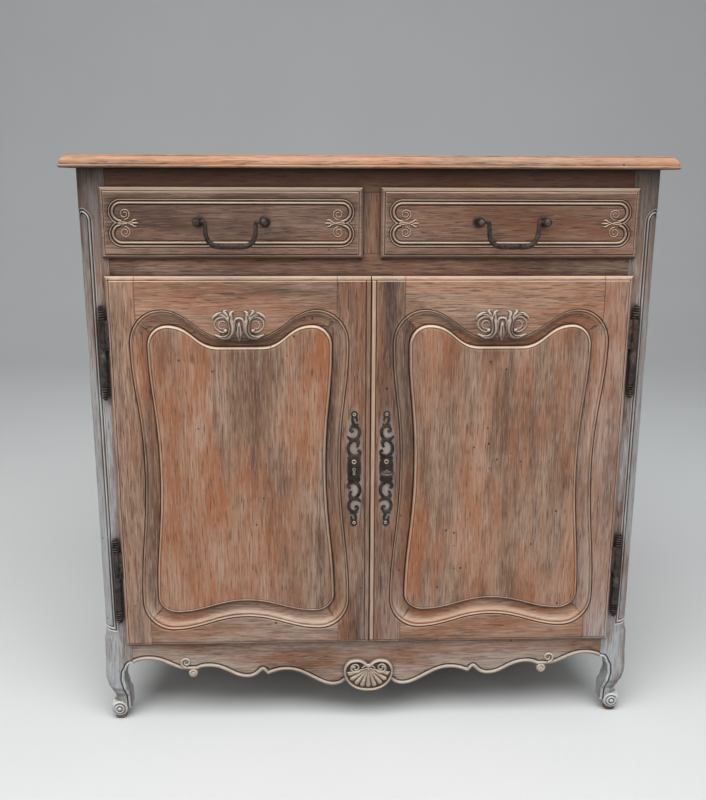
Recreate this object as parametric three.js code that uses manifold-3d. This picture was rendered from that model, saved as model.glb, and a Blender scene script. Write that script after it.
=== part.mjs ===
// Oak sideboard: two drawers over two cupboard doors, on carved front legs.
// Millimetres, +Z up, the front faces -Y. Origin: centre of the footprint, on the floor.
import * as THREE from 'three';
import { mergeVertices } from 'three/addons/utils/BufferGeometryUtils.js';
import Module from 'manifold-3d';

const wasm = await Module();
wasm.setup();

// ---------- driving dimensions ----------

const gap = 0.3; // between touching pieces

const body = { halfWidth: 480, depth: 460, height: 1016 };
const top = { thickness: 21, sideOverhang: 17.5, frontOverhang: 25, backOverhang: 8, roundOver: 14, step: 5 };
const post = { width: 50, depth: 46, cornerRadius: 28, rearWidth: 45, rearDepth: 46 };
const rail = { thickness: 24, muntinHalf: 22.5 };
const levels = {
  underTop: 995,
  drawerOpeningTop: 958,
  drawerOpeningBottom: 860,
  doorOpeningTop: 815,
  doorOpeningBottom: 166,
  legTop: 178,
};
const lip = { overlap: 8.5, front: -10.5, back: -0.5 }; // drawer and door fronts lap over the face frame
const sidePanel = { outer: 476, thickness: 22, panelInset: 6, panelThickness: 11, groove: 8 };
const sideRails = { topBottom: 920, bottomTop: 215, bottomLow: 112, archRise: 26 };
const boards = { floor: 16, shelf: 18, shelfTop: 470, shelfFront: 60, dust: 15.5, backThickness: 10 };
const drawer = { inner: 14.5, outer: 439.5, sideThickness: 12, boxDepth: 400, bottomThickness: 7, boxTop: 951 };
const handle = { halfSpacing: 53.5, height: 912, pivotY: -38.5, ballRadius: 7, armX: 41.5, drop: 38, rodRadius: 4 };
const door = { meeting: 0.8, outer: 438.5, bottom: 158, top: 823, back: 12, innerJoint: 56, outerJoint: 391 };
const moulding = { coveDepth: 5.5 };
const hinge = { x: 447, y: -7, radius: 5.5, halfLength: 81, finial: 24, pinRadius: 2.5, leafThickness: 2 };
const hingeCentres = { upper: 695, lower: 284.5 };
const escutcheon = { x: 28, height: 487, halfHeight: 107, thickness: 2 };
const lock = { x: 28, keyHeight: 490, boltLow: 502, boltHigh: 512, boltFront: 15.4, boltBack: 22.6 };
const slidingBolt = { x: 34, halfWidth: 4, front: 14, back: 19, length: 86, travel: 12 };
const boltPocket = { x: 34, halfWidth: 5, front: 13, back: 20, depth: 8 };
const foot = { x: 460.5, y: 21.5, height: 22, radius: 14.5, halfLength: 15, padHalf: 9.5 };

// The front reaches to the bails, the back to the top board, and the origin lies midway.
const frontReach = handle.pivotY - handle.ballRadius;
const backReach = body.depth + top.backOverhang;
const middleDepth = (frontReach + backReach) / 2;

// ---------- finishes ----------

function finish(color, roughness, metalness) {
  return () => new THREE.MeshStandardMaterial({ color, roughness, metalness });
}

const agedOak = finish(0x7d5a45, 0.7, 0);
const warmOak = finish(0xa06a45, 0.6, 0);
const limedOak = finish(0x8f8a86, 0.8, 0);
const innerOak = finish(0xa58862, 0.85, 0);
const darkIron = finish(0x2a2320, 0.5, 0.8);

// ---------- solids from three.js geometry ----------

function toSolid(geometry) {
  const bare = geometry.index ? geometry : geometry.clone();
  bare.deleteAttribute('normal');
  bare.deleteAttribute('uv');
  const merged = mergeVertices(bare, 1e-4);
  return new wasm.Manifold(
    new wasm.Mesh({
      numProp: 3,
      vertProperties: new Float32Array(merged.attributes.position.array),
      triVerts: new Uint32Array(merged.index.array),
    }),
  );
}

function toGeometry(solid) {
  const mesh = solid.getMesh();
  const geometry = new THREE.BufferGeometry();
  geometry.setAttribute('position', new THREE.BufferAttribute(mesh.vertProperties, 3));
  geometry.setIndex(new THREE.BufferAttribute(mesh.triVerts, 1));
  return geometry;
}

function box(x, y, z) {
  const geometry = new THREE.BoxGeometry(Math.abs(x[1] - x[0]), y[1] - y[0], z[1] - z[0]);
  geometry.translate((x[0] + x[1]) / 2, (y[0] + y[1]) / 2, (z[0] + z[1]) / 2);
  return toSolid(geometry);
}

function sideways(side, x) {
  return [side * x[0], side * x[1]];
}

// Extrudes an outline drawn in X and Z along Y.
function plateAlongY(shape, y, curveSegments = 6) {
  const geometry = new THREE.ExtrudeGeometry(shape, { depth: y[1] - y[0], bevelEnabled: false, curveSegments });
  geometry.rotateX(Math.PI / 2);
  geometry.translate(0, y[1], 0);
  return toSolid(geometry);
}

// Extrudes an outline drawn in Y and Z along X.
function plateAlongX(shape, x, curveSegments = 6) {
  const depth = Math.abs(x[1] - x[0]);
  const geometry = new THREE.ExtrudeGeometry(shape, { depth, bevelEnabled: false, curveSegments });
  geometry.rotateX(Math.PI / 2);
  geometry.rotateZ(Math.PI / 2);
  geometry.translate(Math.min(x[0], x[1]), 0, 0);
  return toSolid(geometry);
}

function cylinder(axis, radius, centre, from, to, sides = 16) {
  const geometry = new THREE.CylinderGeometry(radius, radius, to - from, sides);
  geometry.translate(0, (from + to) / 2, 0);
  if (axis === 'z') geometry.rotateX(Math.PI / 2);
  if (axis === 'x') geometry.rotateZ(-Math.PI / 2);
  geometry.translate(centre[0], centre[1], centre[2]);
  return toSolid(geometry);
}

function polygon(points) {
  return new THREE.Shape(points.map(([x, y]) => new THREE.Vector2(x, y)));
}

// Turns a profile of [radius, height] pairs about the Z axis, or about Y when it lies along Y.
function turned(profile, axis, centre, sides = 16) {
  const points = profile.map(([r, h]) => new THREE.Vector2(r, h));
  const geometry = new THREE.LatheGeometry(points, sides);
  if (axis === 'z') geometry.rotateX(Math.PI / 2);
  geometry.translate(centre[0], centre[1], centre[2]);
  return toSolid(geometry);
}

// ---------- shared outlines ----------

// The serpentine outline round a door panel: right half from the bottom centre up to the top centre.
const panelCurve = {
  halfFoot: 157, halfWaist: 143, halfTop: 155,
  lowX: 122, lowZ: 221, riseZ: 242,
  footZ: 252, waistZ: 495, shoulderZ: 706,
  humpX: 121, humpZ: 742, dipX: 36, dipZ: 705.5,
};
const mouldingCurve = {
  halfFoot: 184.5, halfWaist: 169, halfTop: 184,
  lowX: 131, lowZ: 188, riseZ: 212,
  footZ: 247, waistZ: 500, shoulderZ: 710,
  humpX: 129, humpZ: 769.5, dipX: 24, dipZ: 721,
};

function serpentine(curve, centreX, grow = 0) {
  const c = curve;
  const half = new THREE.Path();
  const foot = c.halfFoot + grow;
  const waist = c.halfWaist + grow;
  const shoulder = c.halfTop + grow;
  const low = c.lowZ - grow;
  const rise = c.riseZ - grow;
  const hump = c.humpZ + grow;
  const dip = c.dipZ + grow;
  const round = 0.56;
  half.moveTo(0, rise);
  half.bezierCurveTo(c.lowX * 0.42, rise, c.lowX * 0.62, low, c.lowX, low);
  half.bezierCurveTo(c.lowX + (foot - c.lowX) * round, low, foot, c.footZ - (c.footZ - low) * round, foot, c.footZ);
  half.bezierCurveTo(foot, c.footZ + 90, waist, c.waistZ - 110, waist, c.waistZ);
  half.bezierCurveTo(waist, c.waistZ + 100, shoulder, c.shoulderZ - 80, shoulder, c.shoulderZ);
  half.bezierCurveTo(
    shoulder, c.shoulderZ + (hump - c.shoulderZ) * round,
    c.humpX + (shoulder - c.humpX) * round, hump,
    c.humpX, hump,
  );
  half.bezierCurveTo(c.humpX - 42, hump, c.dipX + 40, dip, c.dipX, dip);
  half.lineTo(0, dip);
  const right = half.getPoints(5);
  const left = right.slice(1, -1).reverse();
  return [
    ...right.map((p) => new THREE.Vector2(centreX + p.x, p.y)),
    ...left.map((p) => new THREE.Vector2(centreX - p.x, p.y)),
  ];
}

function rectangle(x, z) {
  return polygon([[x[0], z[0]], [x[1], z[0]], [x[1], z[1]], [x[0], z[1]]]);
}

// ---------- scene graph ----------

const dresser = new THREE.Group();
dresser.position.y = -middleDepth;

function add(name, solid, material) {
  const mesh = new THREE.Mesh(toGeometry(solid), material());
  mesh.name = name;
  dresser.add(mesh);
}

const sides = [['left', -1], ['right', 1]];

// ---------- top board ----------

function topBoard() {
  const x = body.halfWidth + top.sideOverhang;
  const back = body.depth + top.backOverhang;
  const low = body.height - top.thickness;
  const slab = box([-x, x], [-top.frontOverhang, back], [low + gap, low + top.step]);
  const reach = 2 * top.roundOver; // the rounded layer runs past the back edge and is cut off there
  const inset = top.roundOver;
  const shape = rectangle([-x + inset, x - inset], [-top.frontOverhang + inset, back + reach]);
  const rounded = new THREE.ExtrudeGeometry(shape, {
    depth: 1,
    bevelSize: inset - 1.5,
    bevelThickness: top.thickness - top.step,
    bevelSegments: 4,
    curveSegments: 1,
  });
  rounded.translate(0, 0, body.height - 1 - (top.thickness - top.step));
  const upper = toSolid(rounded).intersect(box([-x, x], [-body.depth, back], [low + top.step - 0.5, body.height]));
  return slab.add(upper);
}

// ---------- posts and legs ----------

// How far each face of the leg stands out from the post above it, by height.
const legOutside = [[0, -11], [36, -11], [46, -10], [58, -5], [72, 0.5], [88, 3], [120, 3.5], [160, 3], [174, 0], [178, 0]];
const kneeShare = 0.78; // the share of the leg's width that swells forward at the knee
const legInside = [[0, -41], [40, -41], [52, -40.5], [68, -36.5], [86, -33.5], [98, -34.5], [110, -40], [124, -50], [178, -50]];

function along(table, height) {
  const next = table.findIndex(([h]) => h >= height);
  if (next <= 0) return table[0][1];
  const [h0, v0] = table[next - 1];
  const [h1, v1] = table[next];
  const t = (height - h0) / (h1 - h0);
  return v0 + (v1 - v0) * t * t * (3 - 2 * t);
}

// The post's section, drawn with its outer front corner rounded.
function postSection(side) {
  const r = post.cornerRadius;
  const shape = new THREE.Shape();
  const outer = side * body.halfWidth;
  const inner = side * (body.halfWidth - post.width);
  shape.moveTo(inner, 0);
  shape.lineTo(outer - side * r, 0);
  shape.absarc(outer - side * r, r, r, -Math.PI / 2, side > 0 ? 0 : -Math.PI, side < 0);
  shape.lineTo(outer, post.depth);
  shape.lineTo(inner, post.depth);
  return shape;
}

function frontLeg(side) {
  const low = foot.height;
  const geometry = new THREE.ExtrudeGeometry(postSection(side), {
    depth: levels.legTop - low,
    steps: 18,
    bevelEnabled: false,
    curveSegments: 5,
  });
  const position = geometry.attributes.position;
  for (let i = 0; i < position.count; i += 1) {
    const z = position.getZ(i) + low;
    const outside = along(legOutside, z);
    const width = outside - along(legInside, z);
    const acrossX = (body.halfWidth - side * position.getX(i)) / post.width;
    const acrossY = position.getY(i) / post.depth;
    const depthScale = post.depth / post.width;
    const x = side * (body.halfWidth + outside - acrossX * width);
    const forward = outside > 0 ? outside * Math.max(0, 1 - acrossX / kneeShare) : outside;
    const y = (acrossY * (width - outside + forward) - forward) * depthScale;
    position.setXYZ(i, x, y, z);
  }
  return toSolid(geometry);
}

function frontPost(side) {
  const shaft = new THREE.ExtrudeGeometry(postSection(side), {
    depth: levels.underTop - levels.legTop + 1,
    bevelEnabled: false,
    curveSegments: 5,
  });
  shaft.translate(0, 0, levels.legTop - 1);
  const centre = [side * foot.x, foot.y, foot.height];
  const scroll = cylinder('y', foot.radius, centre, -foot.halfLength, foot.halfLength);
  const crossScroll = cylinder('x', foot.radius, centre, -foot.halfLength, foot.halfLength);
  const pad = box(
    sideways(side, [foot.x - foot.padHalf, foot.x + foot.padHalf]),
    [foot.y - foot.padHalf, foot.y + foot.padHalf],
    [0, foot.height],
  );
  let solid = toSolid(shaft).add(frontLeg(side)).add(scroll).add(crossScroll).add(pad);
  for (const centreZ of Object.values(hingeCentres)) {
    const half = hinge.leafThickness / 2 + gap;
    const slot = box(
      sideways(side, [hinge.x - half, hinge.x + half]),
      [-1, 20 + gap],
      [centreZ - 55 - gap, centreZ - 5 + gap],
    );
    solid = solid.subtract(slot);
  }
  return solid.subtract(sideGroove(side));
}

function rearPost(side) {
  const x = sideways(side, [body.halfWidth - post.rearWidth, body.halfWidth]);
  const solid = box(x, [body.depth - post.rearDepth, body.depth], [0, levels.underTop]);
  return solid.subtract(sideGroove(side));
}

// ---------- sides ----------

const panelOuter = sidePanel.outer - sidePanel.panelInset;
const panelInner = panelOuter - sidePanel.panelThickness;
const sideFrontY = post.depth;
const sideBackY = body.depth - post.rearDepth;

// The groove that the side panel sits in, cut from the posts and the side rails.
function sideGroove(side) {
  return box(
    sideways(side, [panelInner - gap, panelOuter + gap]),
    [sideFrontY - sidePanel.groove - gap, sideBackY + sidePanel.groove + gap],
    [sideRails.bottomTop - sidePanel.groove - gap, sideRails.topBottom + sidePanel.groove + gap],
  );
}

function sideTopRail(side) {
  const solid = box(
    sideways(side, [sidePanel.outer - sidePanel.thickness, sidePanel.outer]),
    [sideFrontY + gap, sideBackY - gap],
    [sideRails.topBottom, levels.underTop],
  );
  return solid.subtract(sideGroove(side));
}

function sideBottomRail(side) {
  const front = sideFrontY + gap;
  const back = sideBackY - gap;
  const shape = new THREE.Shape();
  shape.moveTo(front, sideRails.bottomLow);
  shape.quadraticCurveTo((front + back) / 2, sideRails.bottomLow + 2 * sideRails.archRise, back, sideRails.bottomLow);
  shape.lineTo(back, sideRails.bottomTop);
  shape.lineTo(front, sideRails.bottomTop);
  const x = sideways(side, [sidePanel.outer - sidePanel.thickness, sidePanel.outer]);
  return plateAlongX(shape, x, 12).subtract(sideGroove(side));
}

function sidePanelBoard(side) {
  const tongue = sidePanel.groove;
  const field = box(
    sideways(side, [panelInner, panelOuter]),
    [sideFrontY - tongue, sideBackY + tongue],
    [sideRails.bottomTop - tongue, sideRails.topBottom + tongue],
  );
  const raise = box(
    sideways(side, [panelOuter - 1, sidePanel.outer - 2]),
    [sideFrontY + 30, sideBackY - 30],
    [sideRails.bottomTop + 30, sideRails.topBottom - 30],
  );
  return field.add(raise);
}

// ---------- face frame ----------

const frameInner = body.halfWidth - post.width - gap;

function friezeRail() {
  return box([-frameInner, frameInner], [0, rail.thickness], [levels.drawerOpeningTop, levels.underTop]);
}

function midRail() {
  const solid = box(
    [-frameInner, frameInner],
    [0, rail.thickness],
    [levels.doorOpeningTop, levels.drawerOpeningBottom],
  );
  return solid.subtract(pocketFor(levels.doorOpeningTop, boltPocket.depth));
}

// Where a sliding bolt of the left door shoots into the rail above or below.
function pocketFor(z, reach) {
  const x = [-boltPocket.x - boltPocket.halfWidth, -boltPocket.x + boltPocket.halfWidth];
  return box(x, [boltPocket.front, boltPocket.back], [Math.min(z - 1, z + reach), Math.max(z + 1, z + reach)]);
}

// The short post between the drawers, with the long guide that both drawers run along.
function drawerDivider() {
  const half = rail.muntinHalf;
  const front = box(
    [-half, half],
    [0, rail.thickness],
    [levels.drawerOpeningBottom + gap, levels.drawerOpeningTop - gap],
  );
  const guideLow = levels.drawerOpeningBottom + 1;
  const guide = box([-half, half], [rail.thickness - 1, drawer.boxDepth + 30], [guideLow, guideLow + 20]);
  return front.add(guide);
}

const shell = { halfWidth: 46, low: 59.5, centreZ: 90, lobeX: 20, lobeZ: 102, lobeRadius: 21, proud: 9 };
const scrollDrop = { x: 321, z: 98, radius: 8.6, proud: 3 };

// Lower edge of the apron from the middle of the shell out to the leg, as [x, z] key points.
function apronHalfEdge() {
  const edge = new THREE.Path();
  edge.moveTo(0, shell.low);
  edge.bezierCurveTo(20, shell.low, 36, 64, 42, 76);
  edge.bezierCurveTo(47, 70, 55, 67, 65, 67);
  edge.bezierCurveTo(92, 67, 118, 99, 149, 99);
  edge.bezierCurveTo(164, 99, 172, 96, 185, 90.5);
  edge.lineTo(194, 100);
  edge.bezierCurveTo(202, 90, 211, 85.5, 222, 85.5);
  edge.bezierCurveTo(250, 85.5, 262, 108.5, 292, 108.5);
  edge.bezierCurveTo(303, 108.5, 308, 106, 312, 103);
  edge.lineTo(334, 103.5);
  edge.bezierCurveTo(356, 103.5, 372, 124.5, 401, 124.5);
  edge.quadraticCurveTo(418, 124.5, frameInner, 117);
  return edge.getPoints(5);
}

function apronRail() {
  const half = apronHalfEdge();
  const mirrored = half.slice(1).reverse().map((p) => new THREE.Vector2(-p.x, p.y));
  const outline = new THREE.Shape([
    ...mirrored,
    ...half,
    new THREE.Vector2(frameInner, levels.doorOpeningBottom - gap),
    new THREE.Vector2(-frameInner, levels.doorOpeningBottom - gap),
  ]);
  let solid = plateAlongY(outline, [0, rail.thickness]);
  for (const side of [-1, 1]) {
    const drop = [side * scrollDrop.x, 0, scrollDrop.z];
    solid = solid.add(cylinder('y', scrollDrop.radius, drop, -scrollDrop.proud, rail.thickness));
    const lobe = [side * shell.lobeX, 0, shell.lobeZ];
    solid = solid.add(cylinder('y', shell.lobeRadius, lobe, -shell.proud, 2));
  }
  const fan = new THREE.Shape();
  fan.moveTo(-shell.halfWidth + 4, shell.lobeZ);
  fan.quadraticCurveTo(-shell.halfWidth + 2, shell.low, 0, shell.low);
  fan.quadraticCurveTo(shell.halfWidth - 2, shell.low, shell.halfWidth - 4, shell.lobeZ);
  solid = solid.add(plateAlongY(fan, [-shell.proud, 2]));
  return solid.subtract(pocketFor(levels.doorOpeningBottom, -boltPocket.depth));
}

// ---------- inner boards and back ----------

// A board that fills the cabinet from side to side, notched round the posts.
function innerBoard(z, frontY, halfWidth) {
  const back = body.depth - 14 - gap;
  let solid = box([-halfWidth, halfWidth], [frontY, back], z);
  for (const side of [-1, 1]) {
    const innerFront = body.halfWidth - post.width - gap;
    const innerRear = body.halfWidth - post.rearWidth - gap;
    const clear = body.halfWidth;
    if (frontY < post.depth) {
      solid = solid.subtract(box(sideways(side, [innerFront, clear]), [0, post.depth + gap], [z[0] - 1, z[1] + 1]));
    }
    const rearY = body.depth - post.rearDepth - gap;
    solid = solid.subtract(box(sideways(side, [innerRear, clear]), [rearY, body.depth], [z[0] - 1, z[1] + 1]));
  }
  return solid;
}

const railInner = sidePanel.outer - sidePanel.thickness - gap;

function backPanel() {
  const half = body.halfWidth - post.rearWidth - gap;
  const backY = body.depth - 4;
  return box([-half, half], [backY - boards.backThickness, backY], [sideRails.bottomLow, levels.underTop]);
}

// ---------- drawers ----------

const boxInner = 26;
const boxOuter = 427.5;
const boxLow = levels.drawerOpeningBottom + 1.3;
const drawerFrontBack = 11.5;
const drawerMiddle = (drawer.inner + drawer.outer) / 2;

function drawerFront(side) {
  const over = lip.overlap + 1.5;
  const plate = box(
    sideways(side, [drawer.inner, drawer.outer]),
    [lip.front, lip.back],
    [levels.drawerOpeningBottom - 8, levels.drawerOpeningTop + 8],
  );
  const inner = box(
    sideways(side, [drawer.inner + over, drawer.outer - over - 1.5]),
    [lip.back - 1, drawerFrontBack],
    [levels.drawerOpeningBottom + 2, levels.drawerOpeningTop - 2],
  );
  let solid = plate.add(inner);
  for (const end of [-1, 1]) {
    const x = side * drawerMiddle + end * handle.halfSpacing;
    solid = solid.subtract(cylinder('y', 3 + gap, [x, 0, handle.height], lip.front - 1, drawerFrontBack + 1));
  }
  return solid;
}

function drawerSide(side, outward) {
  const near = outward ? boxOuter - drawer.sideThickness : boxInner;
  const x = sideways(side, [near, near + drawer.sideThickness]);
  return box(x, [drawerFrontBack + gap, drawer.boxDepth], [boxLow, drawer.boxTop]);
}

const betweenSides = [boxInner + drawer.sideThickness + gap, boxOuter - drawer.sideThickness - gap];
const bottomLow = boxLow + 5;
const bottomTop = bottomLow + drawer.bottomThickness;

function drawerBack(side) {
  const y = [drawer.boxDepth - drawer.sideThickness, drawer.boxDepth];
  return box(sideways(side, betweenSides), y, [bottomTop + gap, drawer.boxTop]);
}

function drawerBottom(side) {
  return box(sideways(side, betweenSides), [drawerFrontBack + gap, drawer.boxDepth], [bottomLow, bottomTop]);
}

// Shank with its nut, rosette, neck and ball, turned about Y.
function handlePost(side, end) {
  const x = side * drawerMiddle + end * handle.halfSpacing;
  const face = lip.front - gap;
  const ball = handle.ballRadius;
  const steps = 6;
  const profile = [
    [0, drawerFrontBack + 8], [3, drawerFrontBack + 8], [3, drawerFrontBack + 5],
    [7, drawerFrontBack + 5], [7, drawerFrontBack + gap], [3, drawerFrontBack + gap],
    [3, face], [7.5, face], [6.5, face - 2.5], [3.8, face - 4],
  ];
  for (let i = 1; i <= steps; i += 1) {
    const angle = THREE.MathUtils.lerp(0.8, Math.PI, i / steps);
    const radius = i === steps ? 0 : ball * Math.sin(angle);
    profile.push([radius, handle.pivotY + ball * Math.cos(angle)]);
  }
  const solid = turned(profile.reverse(), 'y', [x, 0, handle.height], 12);
  const bore = cylinder('x', 2.8, [x, handle.pivotY, handle.height], -2 * ball, 2 * ball, 12);
  return solid.subtract(bore);
}

function bailHandle(side) {
  const arm = handle.armX;
  const bend = 17;
  const low = -handle.drop;
  const curve = new THREE.CurvePath();
  const at = (x, z) => new THREE.Vector3(x, 0, z);
  curve.add(new THREE.LineCurve3(at(-arm, 1), at(-arm, low + bend)));
  curve.add(new THREE.QuadraticBezierCurve3(at(-arm, low + bend), at(-arm, low), at(-arm + bend, low)));
  curve.add(new THREE.LineCurve3(at(-arm + bend, low), at(arm - bend, low)));
  curve.add(new THREE.QuadraticBezierCurve3(at(arm - bend, low), at(arm, low), at(arm, low + bend)));
  curve.add(new THREE.LineCurve3(at(arm, low + bend), at(arm, 1)));
  const section = new THREE.Shape();
  section.absarc(0, 0, handle.rodRadius, 0, 2 * Math.PI);
  const rod = new THREE.ExtrudeGeometry(section, { steps: 32, extrudePath: curve, curveSegments: 4 });
  let solid = toSolid(rod);
  const reach = handle.halfSpacing + handle.ballRadius - 3;
  for (const end of [-1, 1]) {
    const ends = [end * (arm - 3), end * reach];
    solid = solid.add(cylinder('x', 2.4, [0, 0, 0], Math.min(...ends), Math.max(...ends), 12));
  }
  return solid.translate([side * drawerMiddle, handle.pivotY, handle.height]);
}

// ---------- doors ----------

const doorMiddle = (door.meeting + door.outer) / 2;
const panelEdge = { x: [54, 386], z: [205, 757], y: [1.5, 6.5] };

// The whole door frame before it is cut at its joints: lipped plate, inner plate, panel opening and groove.
function doorRing(side) {
  const over = 10.5;
  const opening = new THREE.Shape(serpentine(panelCurve, side * doorMiddle, 0.8));
  const cove = new THREE.Shape(serpentine(mouldingCurve, side * doorMiddle));
  const plate = box(sideways(side, [door.meeting, door.outer]), [lip.front, lip.back], [door.bottom, door.top]);
  const inner = box(
    sideways(side, [door.meeting, door.outer - over]),
    [lip.back - 1, door.back],
    [door.bottom + over - 0.5, door.top - over + 0.5],
  );
  const groove = box(
    sideways(side, [panelEdge.x[0] - 1, panelEdge.x[1] + 1]),
    [panelEdge.y[0] - gap, panelEdge.y[1] + gap],
    [panelEdge.z[0] - 1, panelEdge.z[1] + 1],
  );
  return plate
    .add(inner)
    .subtract(plateAlongY(opening, [lip.front - 1, door.back + 1]))
    .subtract(plateAlongY(cove, [lip.front - 1, lip.front + moulding.coveDepth]))
    .subtract(groove);
}

// Corner joints run square across the frame and then mitre through the moulding.
const mitre = { topOut: 757, topIn: 735, bottomOut: 196, bottomIn: 226, reach: 34 };

function stileRegion(side, edge, joint, inward) {
  const clear = 0.2;
  const shoulder = joint - inward * clear;
  const tip = joint + inward * mitre.reach;
  const points = [
    [edge, door.bottom - 5], [shoulder, door.bottom - 5],
    [shoulder, mitre.bottomOut + clear], [tip, mitre.bottomIn + clear],
    [tip, mitre.topIn - clear], [shoulder, mitre.topOut - clear],
    [shoulder, door.top + 5], [edge, door.top + 5],
  ];
  return plateAlongY(polygon(points.map(([x, z]) => [side * x, z])), [lip.front - 5, door.back + 5]);
}

function railRegion(side, isTop) {
  const clear = 0.2;
  const [edge, out, tip] = isTop
    ? [door.top + 5, mitre.topOut + clear, mitre.topIn + clear]
    : [door.bottom - 5, mitre.bottomOut - clear, mitre.bottomIn - clear];
  const near = door.innerJoint + clear;
  const far = door.outerJoint - clear;
  const points = [
    [near, edge], [far, edge], [far, out],
    [far - mitre.reach, tip], [near + mitre.reach, tip], [near, out],
  ];
  return plateAlongY(polygon(points.map(([x, z]) => [side * x, z])), [lip.front - 5, door.back + 5]);
}

function hingeStile(side, ring) {
  let solid = ring.intersect(stileRegion(side, door.outer + 5, door.outerJoint, -1));
  for (const centreZ of Object.values(hingeCentres)) {
    const half = hinge.leafThickness / 2 + gap;
    const slot = box(
      sideways(side, [door.outer - 22 - gap, door.outer + 1]),
      [hinge.y - half, hinge.y + half],
      [centreZ + 5 - gap, centreZ + 55 + gap],
    );
    solid = solid.subtract(slot);
  }
  return solid;
}

function meetingStile(side, ring) {
  const solid = ring.intersect(stileRegion(side, door.meeting - 5, door.innerJoint, 1));
  if (side < 0) return solid;
  const hole = cylinder('y', 3.6, [lock.x, 0, lock.keyHeight], lip.front - 1, door.back + 1);
  return solid.subtract(hole);
}

function doorPanel(side) {
  const tongue = box(sideways(side, panelEdge.x), panelEdge.y, panelEdge.z);
  const field = new THREE.Shape(serpentine(panelCurve, side * doorMiddle));
  return tongue.add(plateAlongY(field, [lip.front + 3, panelEdge.y[1]]));
}

// ---------- hinges ----------

function barrelProfile(from, to, finialEnd) {
  const up = Math.sign(finialEnd - to);
  const r = hinge.radius;
  const ring = hinge.finial / 4;
  const profile = [[0, from], [r, from], [r, to]];
  for (let i = 0; i < 3; i += 1) {
    const start = to + up * ring * i;
    profile.push([r - 1.5, start + up * 1], [r + 1, start + up * ring * 0.55], [r - 1.5, start + up * ring]);
  }
  profile.push([2.5, finialEnd - up * 1.5], [0, finialEnd]);
  return up > 0 ? profile : profile.reverse();
}

function frameHinge(side, centreZ) {
  const at = [side * hinge.x, hinge.y, 0];
  const low = centreZ - hinge.halfLength;
  const barrel = turned(barrelProfile(centreZ - gap, low + hinge.finial, low), 'z', at, 12);
  const pin = cylinder('z', hinge.pinRadius, at, centreZ - 1, centreZ + 40, 12);
  const half = hinge.leafThickness / 2;
  const leaf = box(
    sideways(side, [hinge.x - half, hinge.x + half]),
    [hinge.y, 20],
    [centreZ - 55, centreZ - 5],
  );
  return barrel.add(pin).add(leaf);
}

function doorHinge(side, centreZ) {
  const at = [side * hinge.x, hinge.y, 0];
  const high = centreZ + hinge.halfLength;
  const barrel = turned(barrelProfile(centreZ, high - hinge.finial, high), 'z', at, 12);
  const half = hinge.leafThickness / 2;
  const leaf = box(
    sideways(side, [door.outer - 22, hinge.x]),
    [hinge.y - half, hinge.y + half],
    [centreZ + 5, centreZ + 55],
  );
  const bore = cylinder('z', hinge.pinRadius + 0.5, at, centreZ - 1, centreZ + 42, 12);
  return barrel.add(leaf).subtract(bore);
}

// ---------- lock, key, bolts and escutcheons ----------

// Half width of the pierced plate at each height above its middle.
const escutcheonOutline = [
  [0, 107], [4.5, 102], [5, 96], [3, 90], [10, 80], [9, 62], [6, 54], [11.5, 42], [9, 24],
  [12.5, 14], [12.5, -12], [9, -22], [11.5, -36], [6, -48], [9, -60], [10, -78], [3, -90],
  [4.5, -97], [0, -104],
];
const piercings = [[70, 4, 9], [32, 4.5, 8], [-30, 4.5, 8], [-70, 4, 9]];

function escutcheonPlate(side) {
  const right = escutcheonOutline;
  const left = right.slice(1, -1).reverse().map(([x, z]) => [-x, z]);
  const centreX = side * escutcheon.x;
  const centreZ = escutcheon.height;
  const shape = polygon([...right, ...left].map(([x, z]) => [centreX + x, centreZ + z]));
  for (const [z, rx, rz] of piercings) {
    const hole = new THREE.Path();
    hole.absellipse(centreX, centreZ + z, rx, rz, 0, 2 * Math.PI);
    shape.holes.push(hole);
  }
  const keyhole = new THREE.Path();
  keyhole.absarc(centreX, lock.keyHeight, 3.6, 0, 2 * Math.PI);
  shape.holes.push(keyhole);
  return plateAlongY(shape, [lip.front - gap - escutcheon.thickness, lip.front - gap], 5);
}

function lockCase() {
  const caseBox = box([4, 60], [door.back + gap, door.back + 14.3], [466, 528]);
  const channel = box([3, 56], [lock.boltFront - 0.5, lock.boltBack + 0.5], [lock.boltLow - 0.6, lock.boltHigh + 0.6]);
  const well = cylinder('y', 12, [lock.x, 0, lock.keyHeight], lock.boltFront - 0.5, lock.boltBack + 0.5);
  const keyway = cylinder('y', 3.6, [lock.x, 0, lock.keyHeight], door.back - 1, lock.boltFront);
  return caseBox.subtract(channel).subtract(well).subtract(keyway);
}

function lockBolt() {
  return box([5, 44], [lock.boltFront, lock.boltBack], [lock.boltLow, lock.boltHigh]);
}

function key() {
  const at = [lock.x, 0, lock.keyHeight];
  const stem = cylinder('y', 2.6, at, -26, lock.boltBack - 0.6, 12);
  const bit = box([lock.x, lock.x + 10], [lock.boltFront + 0.8, lock.boltBack - 1.2], [at[2] - 1.3, at[2] + 1.3]);
  const bow = new THREE.Shape();
  bow.absellipse(lock.x, 34.5, 12.5, 10, 0, 2 * Math.PI);
  const eye = new THREE.Path();
  eye.absellipse(lock.x, 34.5, 8, 5.5, 0, 2 * Math.PI);
  bow.holes.push(eye);
  const ring = new THREE.ExtrudeGeometry(bow, { depth: 4.4, bevelEnabled: false, curveSegments: 8 });
  ring.rotateX(Math.PI);
  ring.translate(0, 0, at[2] + 2.2);
  return stem.add(bit).add(toSolid(ring));
}

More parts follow.
